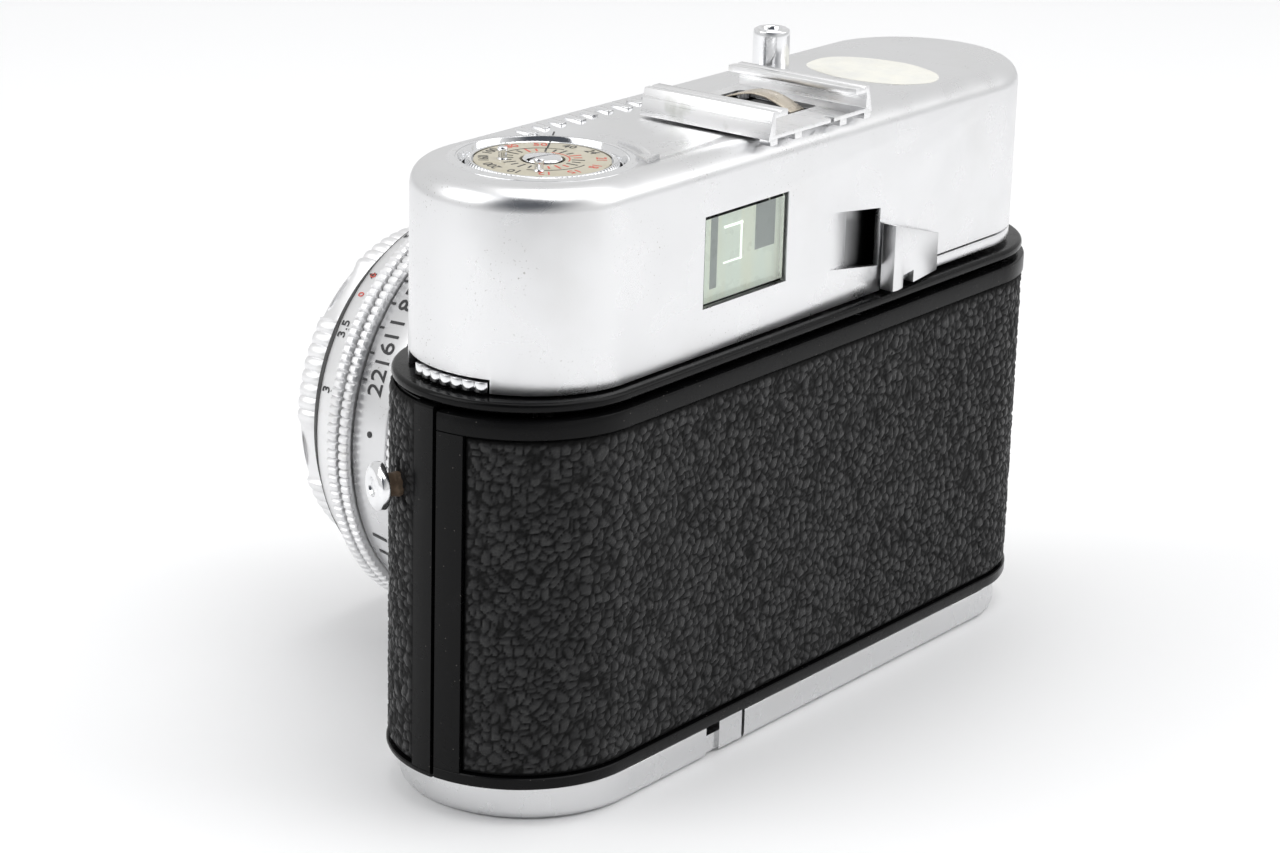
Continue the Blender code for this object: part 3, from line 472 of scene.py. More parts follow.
def side(end_x, start, sign, steps=28, flat_steps=1):
    """Stations along one long side: sign +1 is the back, -1 the front."""
    span = pi / 2 - start
    right = [(end_x, start + span * i / steps) for i in range(steps + 1)]
    middle = [(end_x * (1 - 2 * i / flat_steps), pi / 2) for i in range(1, flat_steps)]
    left = [(-end_x, pi / 2 + span * i / steps) for i in range(steps + 1)]
    return [(x, sign * angle) for x, angle in right + middle + left]


def turned(profile, steps=72, edge=0.12, shape=None, place=None):
    """A turned form. A profile that starts on the axis is an open chain, others are closed."""
    bm = bmesh.new()
    on_axis = profile[0][0] == 0
    outline = soften(profile, edge, 2, closed=not on_axis) if edge else profile
    sweep(bm, outline, circle(steps), True, not on_axis, shape)
    if place is not None:
        bmesh.ops.transform(bm, matrix=place, verts=bm.verts)
    return bm


def merge(*parts):
    """Puts several meshes into the first."""
    first = parts[0]
    for other in parts[1:]:
        mesh = bpy.data.meshes.new("part")
        other.to_mesh(mesh)
        other.free()
        first.from_mesh(mesh)
        bpy.data.meshes.remove(mesh)
    return first


def inset(outline, distance):
    """The outline moved inwards, each corner along its mitre."""
    area = sum(a[0] * b[1] - b[0] * a[1] for a, b in zip(outline, outline[1:] + outline[:1]))
    sign = 1 if area > 0 else -1
    moved = []
    for i, point in enumerate(outline):
        here = Vector(point)
        before = (here - Vector(outline[i - 1])).normalized()
        after = (Vector(outline[(i + 1) % len(outline)]) - here).normalized()
        left = Vector((-before.y - after.y, before.x + after.x)) * sign
        if left.length < 1e-6:
            left = Vector((-before.y, before.x)) * sign
        left.normalize()
        share = max(0.35, abs(left.dot(Vector((-before.y, before.x)))))
        moved.append(tuple(here + left * distance / share))
    return moved


ALONG = {
    "Z": Matrix.Identity(4),
    "Y": Matrix.Rotation(pi / 2, 4, "X") @ Matrix.Scale(-1, 4, (0, 0, 1)),
    "X": Matrix.Rotation(pi / 2, 4, "Z") @ Matrix.Rotation(pi / 2, 4, "X"),
}


def prism(outline, low, high, edge=0.12, along="Z"):
    """An outline with thickness and rounded rims. Along Z it lies in XY, along Y in XZ, along X in YZ."""
    bm = bmesh.new()
    levels = []
    for angle in (0, 45, 90):
        levels.append((edge * (1 - sin(radians(angle))), low + edge * (1 - cos(radians(angle)))))
    for angle in (90, 45, 0):
        levels.append((edge * (1 - sin(radians(angle))), high - edge * (1 - cos(radians(angle)))))
    rows = []
    for distance, z in levels:
        shape = inset(outline, distance) if distance > 1e-9 else outline
        rows.append([bm.verts.new((u, v, z)) for u, v in shape])
    for row, above in zip(rows, rows[1:]):
        for i in range(len(row)):
            j = (i + 1) % len(row)
            bm.faces.new((row[i], row[j], above[j], above[i]))
    bm.faces.new(rows[0])
    bm.faces.new(rows[-1])
    bmesh.ops.transform(bm, matrix=ALONG[along], verts=bm.verts)
    return bm


def slab(low, high, edge=0.12, corner=0.0):
    """A block between two corners with rounded rims, and round corners in plan if asked."""
    outline = [(low[0], low[1]), (high[0], low[1]), (high[0], high[1]), (low[0], high[1])]
    if corner:
        outline = soften(outline, corner, 4)
    return prism(outline, low[2], high[2], edge)


def rod(low, high, radius, steps=32, edge=0.1):
    """A cylinder between two points with rounded rims."""
    low, high = Vector(low), Vector(high)
    length = (high - low).length
    turn = Vector((0, 0, 1)).rotation_difference(high - low).to_matrix().to_4x4()
    place = Matrix.Translation(low) @ turn
    return turned([(0, length), (radius, length), (radius, 0), (0, 0)], steps, edge, place=place)


def pill(end_x, radius, low, high, round_low=0.0, round_high=0.0, steps=28):
    """A stadium-shaped block whose lower and upper edges are rounded."""
    profile = []
    for level, size, sign in ((low, round_low, 1), (high, round_high, -1)):
        corner = [(radius, level)]
        if size:
            angles = [radians(90 * i / 6) for i in range(7)]
            corner = [(radius - size * (1 - sin(a)), level + sign * size * (1 - cos(a))) for a in angles]
        profile += corner if sign > 0 else corner[::-1]
    bm = bmesh.new()
    sweep(bm, profile, stadium(end_x, steps), True, False)
    return bm


def helper(bm):
    settle(bm)
    mesh = bpy.data.meshes.new("helper")
    bm.to_mesh(mesh)
    bm.free()
    obj = bpy.data.objects.new("helper", mesh)
    bpy.context.scene.collection.objects.link(obj)
    return obj


def carve(bm, *cutters, bevel=0.0):
    """Cuts each mesh from the first, then rounds the sharp edges that are left."""
    obj = helper(bm)
    tools = [helper(cutter) for cutter in cutters]
    for tool in tools:
        modifier = obj.modifiers.new("cut", "BOOLEAN")
        modifier.operation = "DIFFERENCE"
        modifier.object = tool
        modifier.solver = "EXACT"
    if bevel:
        modifier = obj.modifiers.new("edges", "BEVEL")
        modifier.width = bevel
        modifier.segments = 2
        modifier.limit_method = "ANGLE"
        modifier.angle_limit = radians(50)
        modifier.use_clamp_overlap = True
    bpy.context.view_layer.update()
    graph = bpy.context.evaluated_depsgraph_get()
    result = bmesh.new()
    mesh = bpy.data.meshes.new_from_object(obj.evaluated_get(graph))
    result.from_mesh(mesh)
    for old in [obj, *tools]:
        bpy.data.objects.remove(old)
    return result


def numerals(text, size, place, thick=0.05):
    """Numerals as thin paint. place(u, v, lift) bends them to the surface they are on."""
    curve = bpy.data.curves.new("numerals", "FONT")
    curve.body = text
    curve.size = size
    curve.align_x = "CENTER"
    curve.align_y = "CENTER"
    curve.resolution_u = 3
    curve.extrude = thick / 2
    obj = bpy.data.objects.new("numerals", curve)
    bpy.context.scene.collection.objects.link(obj)
    bpy.context.view_layer.update()
    graph = bpy.context.evaluated_depsgraph_get()
    bm = bmesh.new()
    bm.from_mesh(bpy.data.meshes.new_from_object(obj.evaluated_get(graph)))
    bpy.data.objects.remove(obj)
    for vert in bm.verts:
        vert.co = place(vert.co.x, vert.co.y, vert.co.z)
    return bm


MARK_LIFT = 0.05


def on_cone(angle, rear, slope_radius):
    """Places marks on a lens cone: read upwards from the rewind side, tops towards the front."""

    def place(u, v, lift):
        height = rear + v
        radius = slope_radius(height)
        turn = radians(angle) + u / radius
        reach = radius + lift + MARK_LIFT
        return Vector((LENS_X + reach * cos(turn), -height, LENS_Z + reach * sin(turn)))

    return place


def mark_on(place, width, length, thick=0.05):
    """A short painted bar, placed like a numeral."""
    bm = slab((-width / 2, -length / 2, -thick / 2), (width / 2, length / 2, thick / 2), 0)
    for vert in bm.verts:
        vert.co = place(vert.co.x, vert.co.y, vert.co.z)
    return bm


def keep(material, *nodes, bevel=0.0):
    """Carries CAD nodes over with a new material and, if asked, rounded edges."""
    for name in nodes:
        node = frame["nodes"][name]
        node.data.materials.clear()
        node.data.materials.append(material)
        if bevel:
            modifier = node.modifiers.new("edges", "BEVEL")
            modifier.width = bevel * MM
            modifier.segments = 2
            modifier.limit_method = "ANGLE"
            modifier.angle_limit = radians(35)


# ---------------------------------------------------------------- body


def walled(profile_full, profile_cut, sign, cut_angle):
    """A side wall whose leather recess starts at an angle on each end; both profiles match point by point."""
    plain = side(BODY_END, SEAM, sign, 36)
    stations = []
    cut_from = []
    for x, angle in plain:
        from_seam = min(abs(angle), pi - abs(angle))
        stations.append((x, angle))
        cut_from.append(from_seam > cut_angle)
    edges = [(BODY_END, cut_angle * sign), (-BODY_END, (pi - cut_angle) * sign)]
    first = cut_from.index(True)
    last = len(cut_from) - cut_from[::-1].index(True)
    stations = stations[:first] + [edges[0]] * 2 + stations[first:last] + [edges[1]] * 2 + stations[last:]
    flags = cut_from[:first] + [False, True] + cut_from[first:last] + [True, False] + cut_from[last:]

    def shape(i, j, radius, z):
        return profile_cut[j] if flags[i] else profile_full[j]

    bm = bmesh.new()
    sweep(bm, profile_full, stations, False, True, shape)
    return bm


def wall_profiles(inner, outer, low, high, recess_low, recess_high, recess_radius, open_top):
    """The wall's section with the leather recess and without it."""
    rim = 0.3
    cut = [(inner, low), (outer - rim, low), (outer - rim * 0.3, low + rim * 0.3), (outer, low + rim)]
    cut += [(outer, recess_low - 0.12), (outer - 0.12, recess_low), (recess_radius, recess_low + 0.02)]
    if open_top:
        cut += [(recess_radius, high - 0.03), (recess_radius, high - 0.02), (recess_radius, high - 0.01)]
    else:
        cut += [(recess_radius, recess_high), (outer - 0.12, recess_high + 0.02), (outer, recess_high + 0.14)]
    top = outer if not open_top else recess_radius
    cut += [
        (top, high - rim * (not open_top)), (top - rim * 0.3, high - rim * 0.3), (top - rim, high),
        (inner, high)
    ]
    full = []
    for radius, z in cut:
        full.append((outer if inner < radius <= recess_radius + 0.01 else radius, z))
    if open_top:
        full[-4:] = [
            (outer, high - rim), (outer - rim * 0.3, high - rim * 0.3), (outer - rim, high), (inner, high)
        ]
        full[-7:-4] = [(outer, high - rim - 0.2 + 0.05 * i) for i in range(3)]
    return full, cut


def body_walls():
    low, high = box("front_shell")
    leather_low, leather_high = box("front_leather")
    recess = BODY_RADIUS - 0.9
    full, cut = wall_profiles(
        BODY_RADIUS - 1.5, BODY_RADIUS, low.z, high.z, leather_low.z - 0.2, high.z, recess, True
    )
    shell = walled(full, cut, -1, radians(12.4))
    hole = rod((LENS_X, -22, LENS_Z), (LENS_X, -10, LENS_Z), 17.9, 64)
    bar = box("door_hinge_pin")
    pin_x, pin_y = (bar[0].x + bar[1].x) / 2, (bar[0].y + bar[1].y) / 2
    shell = carve(shell, hole)
    for first, last in ((5.0, 8.0), (45.3, 48.3)):
        merge(shell, rod((pin_x, pin_y, first), (pin_x, pin_y, last), 1.2))
    piece("front_shell_skin", shell, ENAMEL, "camera", ["front_shell"])

    low, high = box("back_door")
    leather_low, leather_high = box("door_leather")
    full, cut = wall_profiles(
        BODY_RADIUS - 1.7, BODY_RADIUS, low.z, high.z,
        leather_low.z - 0.2, leather_high.z + 0.2, recess, False
    )
    door = walled(full, cut, 1, radians(13.9))
    merge(door, rod((pin_x, pin_y, 8.3), (pin_x, pin_y, 45.0), 1.4))
    merge(door, slab((pin_x - 1.0, pin_y + 0.4, 8.3), (pin_x + 0.6, 1.6, 45.0)))
    piece("back_door_skin", door, ENAMEL, "back_door", ["back_door"])
    keep(STEEL, "door_hinge_pin", bevel=0.08)


GRAIN = 1.15
GRAIN_DEPTH = 0.34
GRAIN_PITCH = 0.25


def grain(point):
    """Height of the leather's pebbles at a point, from 0 in the creases to 1."""
    bend = noise.noise_vector(point / (GRAIN * 1.7)) * 0.45
    near = noise.voronoi(point / GRAIN + bend)[0]
    pebble = min(1.0, (near[1] - near[0]) * 3.4)
    small = noise.noise(point / (GRAIN * 0.35)) * 0.18
    return max(0.0, pebble * (0.84 + 0.16 * noise.noise(point / (GRAIN * 2.6))) + small)


# The panels start this many degrees round from the ends, and the front one is cut out round the lens, in mm.
DOOR_LEATHER_ANGLE = 14.5
FRONT_LEATHER_ANGLE = 13.0
LEATHER_HOLE_RADIUS = 19.4


def leather_panel(node, sign, start):
    """A grained panel, pressed down along its border."""
    low, high = box(node)
    outer = BODY_RADIUS - 0.1
    inner = outer - 0.6
    pitch = GRAIN_PITCH
    count = int((high.z - low.z) / pitch)
    heights = [low.z + (high.z - low.z) * i / count for i in range(count + 1)]
    profile = [(inner, low.z)] + [(outer, z) for z in heights] + [(inner, high.z)]
    end_steps = int(outer * (pi / 2 - radians(start)) / pitch)
    stations = side(BODY_END, radians(start), sign, end_steps, int(2 * BODY_END / pitch))
    last = len(stations) - 1

    def shape(i, j, radius, z):
        if radius == inner:
            return radius, z
        x, angle = stations[i]
        from_border = min(i, last - i, j - 1, count + 1 - j) * pitch
        press = min(1.0, from_border / 0.6)
        point = Vector((x + cos(angle) * radius, sin(angle) * radius, z))
        return radius - 0.16 * (1 - press) - GRAIN_DEPTH * (1 - press * grain(point)), z

    bm = bmesh.new()
    sweep(bm, profile, stations, False, True, shape)
    stored = bm.verts.layers.float.new(GRAIN_NAME)
    for vert in bm.verts:
        radius = Vector((max(0.0, abs(vert.co.x) - BODY_END), vert.co.y)).length
        vert[stored] = max(0.0, 1 - (outer - radius) / GRAIN_DEPTH)
    return bm


def lens_hole(bm, radius):
    """Opens the front panel behind the lens mount."""
    inside = [
        face
        for face in bm.faces
        if face.calc_center_median().y < -10
        and (
            face.calc_center_median() - Vector((LENS_X, face.calc_center_median().y, LENS_Z))
        ).length < radius
    ]
    bmesh.ops.delete(bm, geom=inside, context="FACES")
    return bm


def leather():
    piece(
        "door_leather_skin",
        leather_panel("door_leather", 1, DOOR_LEATHER_ANGLE),
        LEATHER,
        "back_door",
        ["door_leather"],
        sharp=80,
    )
    front = lens_hole(leather_panel("front_leather", -1, FRONT_LEATHER_ANGLE), LEATHER_HOLE_RADIUS)
    piece("front_leather_skin", front, LEATHER, "camera", ["front_leather"], sharp=80)


def deck():
    """The black rim under the cover, with a rounded bead along its edge."""
    bm = pill(BODY_END, DECK_HIGH.y, DECK_LOW.z, DECK_HIGH.z, 0.45, 0.5, 36)
    piece("deck_rim", bm, ENAMEL, "camera", ["chassis_deck"])


def strap_lugs():
    stem_end, head_start, head_end = 17.0, 17.1, 18.4
    for side_name, sign in (("rewind", 1), ("advance", -1)):
        angle = radians(28.0)
        direction = Vector((sign * cos(angle), -sin(angle), 0))
        centre = Vector((sign * BODY_END, 0, 38.0))
        turn = Vector((0, 0, 1)).rotation_difference(direction).to_matrix().to_4x4()
        place = Matrix.Translation(centre) @ turn
        head = [(0, head_end - 0.35), (1.0, head_end - 0.35), (1.15, head_end), (2.2, head_end)]
        head += [(2.8, head_end - 0.4), (2.8, head_start), (1.4, head_start), (0, head_start)]
        name = "strap_lug_" + side_name
        piece(
            name + "_head", turned(head, 40, 0.12, place=place), POLISHED, "camera", [name],
        )
        stem = [(0, stem_end + 0.1), (1.5, stem_end + 0.1), (1.35, 16.0), (1.5, 15.2), (1.5, 13.2), (0, 13.2)]
        piece(name + "_stem", turned(stem, 32, 0.2, place=place), TARNISH, "camera", [])


# ---------------------------------------------------------------- base

BASE_SCREWS = (-44.0, 8.0)


def base():
    low, high = BASE_LOW.z, BASE_HIGH.z
    cut_x = BASE_HIGH.x
    flap_start = 21.9
    far = 80.0
    trim = slab((cut_x, -20, -1), (far, 20, 6), 0)
    pocket = carve(
        pill(BASE_END, BASE_RADIUS - 1.1, 1.2, 6), slab((cut_x - 1.1, -20, -1), (far, 20, 8), 0)
    )
    bush_low, bush_high = box("tripod_bush")
    bush_x = (bush_low.x + bush_high.x) / 2
    bush_r = (bush_high.x - bush_low.x) / 2
    hole = rod((bush_x, 0, -1), (bush_x, 0, 6), bush_r + 0.15, 48)
    seats = [rod((x, 0, -1), (x, 0, 0.35), 2.3, 32) for x in BASE_SCREWS]
    plate = carve(pill(BASE_END, BASE_RADIUS, low, high, 0.9, 0.15, 32), trim, pocket, hole, *seats)
    piece("base_plate_skin", plate, SATIN_GREY, "camera", ["base_plate"])
    for i, x in enumerate(BASE_SCREWS):
        screw = turned([(0, 0.1), (1.6, 0.15), (2.1, 0.5), (2.1, 1.0), (0, 1.0)], 32, 0.1)
        bmesh.ops.translate(screw, vec=(x, 0, 0), verts=screw.verts)
        screw = carve(screw, slab((x - 3, -0.25, -1), (x + 3, 0.25, 0.5), 0))
        piece(f"base_screw_{i + 1}", screw, STEEL, "camera", [])
    thread(bush_x, bush_r)

    trim = slab((-far, -20, -1), (flap_start, 20, 6), 0)
    pocket = carve(
        pill(BASE_END, BASE_RADIUS - 1.1, 1.2, 6), slab((-far, -20, -1), (flap_start + 1.1, 20, 8), 0)
    )
    flap = carve(pill(BASE_END, BASE_RADIUS, low, high, 0.9, 0.15, 32), trim, pocket)
    pin_low, pin_high = box("flap_hinge_pin")
    x, z = (pin_low.x + pin_high.x) / 2, (pin_low.z + pin_high.z) / 2
    merge(flap, rod((x, -9, z), (x, 9, z), 1.2), slab((x, -9, z - 1.15), (flap_start + 0.5, 9, z - 0.1)))
    piece("base_flap_skin", flap, SATIN_GREY, "base_flap", ["base_flap"])
    keep(SATIN_GREY, "flap_hinge_block", bevel=0.3)
    keep(STEEL, "flap_hinge_pin", bevel=0.1)


def thread(x, outer):
    """The tripod bush, with the turns of its thread inside."""
    bore, pitch = 3.2, 1.27
    low, high = 0.0, 3.9
    profile = [(outer, low + 0.1), (outer, high), (bore + 0.3, high)]
    turns = int((high - 0.6) / (pitch / 2))
    for i in range(turns):
        profile.append((bore + (0.5 if i % 2 else 0.0), high - 0.3 - i * pitch / 2))
    profile += [(bore + 0.5, low), (outer - 0.3, low)]
    bm = turned(profile[::-1], 48, 0)
    bmesh.ops.translate(bm, vec=(x, 0, 0), verts=bm.verts)
    piece("tripod_bush_thread", bm, STEEL, "camera", ["tripod_bush"])


# ---------------------------------------------------------------- top cover


def window_cutter():
    low, high = box("finder_glass_rear")
    edge = 0.12
    return slab((low.x - edge, -20, low.z - edge), (high.x + edge, 20, high.z + edge), 0)


def lever_slot():
    low, high = COVER_LOW.z - 0.2, COVER_LOW.z + 1.95
    outline = arc((LEVER_X, 0), COVER_RADIUS + 2, 90, 272, 40)
    outline += [(LEVER_X, -(COVER_RADIUS - 2)), (LEVER_X, 0)]
    outline += [(-12.6, 9.0), (-12.6, COVER_RADIUS + 2)]
    return prism(outline, low, high, 0)


def catch_slot():
    centre = (COVER_END, 0)
    outline = arc(centre, COVER_RADIUS + 2, -42, 21, 20) + arc(centre, COVER_RADIUS - 2.2, 21, -42, 20)
    return prism(outline, COVER_LOW.z - 0.2, COVER_LOW.z + 1.6, 0)


HOLLOW_START, HOLLOW_END, HOLLOW_DEPTH = -1.2, -12.0, 1.9
HOLLOW_TOP = (63.0, 61.6)
HOLLOW_FOOT = (55.9, 54.3)


def hull(points):
    bm = bmesh.new()
    verts = [bm.verts.new(point) for point in points]
    bmesh.ops.convex_hull(bm, input=verts)
    loose = [v for v in bm.verts if not v.link_faces]
    bmesh.ops.delete(bm, geom=loose, context="VERTS")
    return bm


def hollow_corners(start_y, end_y, grow=0.0):
    """The four corners of the thumb hollow, at one depth for each of its ends."""
    corners = []
    for x, y, i in ((HOLLOW_START, start_y, 0), (HOLLOW_END, end_y, 1)):
        corners += [(x, y, HOLLOW_TOP[i] + grow), (x, y, HOLLOW_FOOT[i] - grow)]
    return corners


def hollow_cutter():
    """The sloping hollow beside the lever, which lets a thumb get behind it."""
    deep = COVER_RADIUS - HOLLOW_DEPTH
    outside = COVER_RADIUS + 1.5
    return hull(hollow_corners(outside, outside) + hollow_corners(COVER_RADIUS, deep))


def thumb_hollow():
    """The pressed sheet that closes the hollow: its floor, its two sides and its end."""
    deep = COVER_RADIUS - HOLLOW_DEPTH
    sheet, skin = 0.3, COVER_RADIUS - COVER_WALL + 0.05
    floor = hull(
        hollow_corners(COVER_RADIUS - 0.02, deep, sheet) + hollow_corners(
            COVER_RADIUS - COVER_WALL, deep - sheet, sheet
        )
    )
    run = HOLLOW_END - HOLLOW_START
    meet = COVER_WALL / HOLLOW_DEPTH
    x = HOLLOW_START + run * meet
    for ends, way in ((HOLLOW_TOP, 1), (HOLLOW_FOOT, -1)):
        z = ends[0] + (ends[1] - ends[0]) * meet
        wall = [(x, skin, z), (HOLLOW_END, skin, ends[1]), (HOLLOW_END, deep - 0.1, ends[1])]
        merge(floor, hull(wall + [(u, v, w + way * sheet) for u, v, w in wall]))
    merge(
        floor,
        slab(
            (HOLLOW_END - sheet, deep - sheet, HOLLOW_FOOT[1] - sheet), (HOLLOW_END, skin, HOLLOW_TOP[1] + sheet), 0
        ),
    )
    # Painted shade: the hollow's chrome darkens along X from a tenth to four fifths of the way in.
    surface = hollow_chrome_painted_shade(HOLLOW_START + run * 0.1, HOLLOW_START + run * 0.8)
    piece("thumb_hollow_sheet", floor, surface, "camera", [], sharp=20)


def top_cover():
    low, high = COVER_LOW.z, COVER_HIGH.z
    outside = pill(COVER_END, COVER_RADIUS, low, high, 0.0, COVER_FILLET, 48)
    inner_radius = COVER_RADIUS - COVER_WALL
    inside = pill(COVER_END, inner_radius, low - 1, high - COVER_WALL, 0.0, COVER_FILLET - COVER_WALL, 48)
    bezel_low, bezel_high = box("knob_bezel")
    bezel = (bezel_high.x - bezel_low.x) / 2
    cutters = [
        rod((KNOB_X, 0, 60), (KNOB_X, 0, 80), bezel + 0.12, 96),
        rod((BUTTON_X, BUTTON_Y, 70), (BUTTON_X, BUTTON_Y, 80), 3.42, 48),
    ]
    for i in (1, 2):
        rivet_low, rivet_high = box(f"shoe_rivet_{i}")
        middle = (rivet_low + rivet_high) / 2
        cutters.append(rod((middle.x, middle.y, 70), (middle.x, middle.y, 80), 1.0, 24))
    cutters += [window_cutter(), lever_slot(), catch_slot(), hollow_cutter()]
    cover = carve(outside, inside, *cutters, bevel=0.12)
    piece("top_cover_skin", cover, SATIN, "camera", ["top_cover"], sharp=40)
    thumb_hollow()


def top_marks():
    """A curved arrow by the knob, a plain row of raised bars and a dried patch of glue."""
    top = COVER_HIGH.z
    centre = (KNOB_X, 0)
    inner, outer = 11.45, 12.25
    shaft = arc(centre, outer, 171, 133, 14) + arc(centre, inner, 133, 171, 14)
    arrow = prism(shaft, top - 0.1, top + 0.45, 0.12)
    middle = (inner + outer) / 2
    tip = arc(centre, middle, 121, 121, 1)[0]
    wings = [arc(centre, middle + reach, 134, 134, 1)[0] for reach in (1.4, -1.3)]
    merge(arrow, prism([tip, wings[0], wings[1]], top - 0.1, top + 0.5, 0.12))
    piece("rewind_arrow", arrow, SATIN, "camera", [])

    bars = None
    count, first, last = 9, 29.0, 5.2
    for i in range(count):
        x = first + (last - first) * i / (count - 1)
        tall = 1.5 if i % 3 else 1.9
        outline = [
            (x - 0.75, -10.2), (x + 0.35, -10.2), (x + 0.75, -10.2 + tall * 1.6),
            (x - 0.35, -10.2 + tall * 1.6)
        ]
        bar = prism(soften(outline, 0.2, 3), top - 0.1, top + 0.4, 0.1)
        bars = merge(bars, bar) if bars else bar
    piece("plain_name_bars", bars, POLISHED, "camera", [])

    outline = []
    for i in range(56):
        angle = TURN * i / 56
        ripple = 1 + 0.06 * noise.noise(Vector((cos(angle) * 1.5, sin(angle) * 1.5, 0.3)))
        outline.append((-27.2 + 6.4 * ripple * cos(angle), 1.4 + 9.0 * ripple * sin(angle)))
    glue = prism(outline, top - 0.05, top + 0.05, 0.04)
    piece("glue_mark", glue, GLUE, "camera", [])


# ---------------------------------------------------------------- finder


def bevelled_pane(low, high, back, chamfer):
    """A pane whose outer face has bevelled borders; back is +1 or -1 along Y."""
    bm = bmesh.new()
    near, far = (low.y, high.y) if back > 0 else (high.y, low.y)
    step = (far - near) * 0.45
    rows = []
    for inset_by, y in ((0, near), (0, far - step), (chamfer, far)):
        corners = [(low.x + inset_by, low.z + inset_by), (high.x - inset_by, low.z + inset_by)]
        corners += [(high.x - inset_by, high.z - inset_by), (low.x + inset_by, high.z - inset_by)]
        rows.append([bm.verts.new((x, y, z)) for x, z in corners])
    for row, after in zip(rows, rows[1:]):
        for i in range(4):
            j = (i + 1) % 4
            bm.faces.new((row[i], row[j], after[j], after[i]))
    bm.faces.new(rows[0])
    bm.faces.new(rows[-1])
    return bm


PANE_SINK = 0.3


def pane_box(node, back):
    """The box of a finder pane, moved out until its face is just under the cover's."""
    low, high = box(node)
    shift = COVER_RADIUS - PANE_SINK - (high.y if back > 0 else -low.y)
    move = Vector((0, back * shift, 0))
    return low + move, high + move


def finder():
    """Both panes, and behind the rear one the pale mirror with the lines of the bright frame."""
    for label, back in (("rear", 1), ("front", -1)):
        node = "finder_glass_" + label
        low, high = pane_box(node, back)
        pane = bevelled_pane(low, high, back, 0.35)
        piece(node + "_pane", pane, CLEAR, "camera", [node], sharp=5)
    low, high = pane_box("finder_glass_rear", 1)
    keep(MATT, "finder_housing", bevel=0.1)
    wide, tall = high.x - low.x, high.z - low.z
    back = low.y - 0.16
    screen = slab((low.x - 0.28, back - 0.4, low.z - 0.28), (high.x + 0.28, back, high.z + 0.28), 0)
    # The screen plate glows with painted light.
    piece("finder_screen_plate", screen, SCREEN_PAINTED_GLOW, "camera", [])
    panel = slab(
        (low.x + 0.06 * wide, back, low.z + 0.42 * tall), (low.x + 0.30 * wide, back + 0.04, high.z), 0
    )
    strip = slab((high.x - 0.24 * wide, back, low.z + 1.5), (high.x - 0.16 * wide, back + 0.04, high.z), 0)
    piece("finder_screen_panels", merge(panel, strip), SCREEN_GREY, "camera", [])
    line, edge, reach = 0.26, high.x - 0.52 * wide, 0.2 * wide
    foot, top = low.z + 0.38 * tall, low.z + 0.80 * tall
    upright = slab((edge - line, back, foot), (edge, back + 0.08, top), 0)
    over = slab((edge - line, back, top - line), (edge + reach, back + 0.08, top), 0)
    under = slab((edge - line, back, foot), (edge + reach, back + 0.08, foot + line * 0.6), 0)
    piece("finder_frame_lines", merge(upright, over, under), FRAME_LINE, "camera", [])


# ---------------------------------------------------------------- accessory shoe


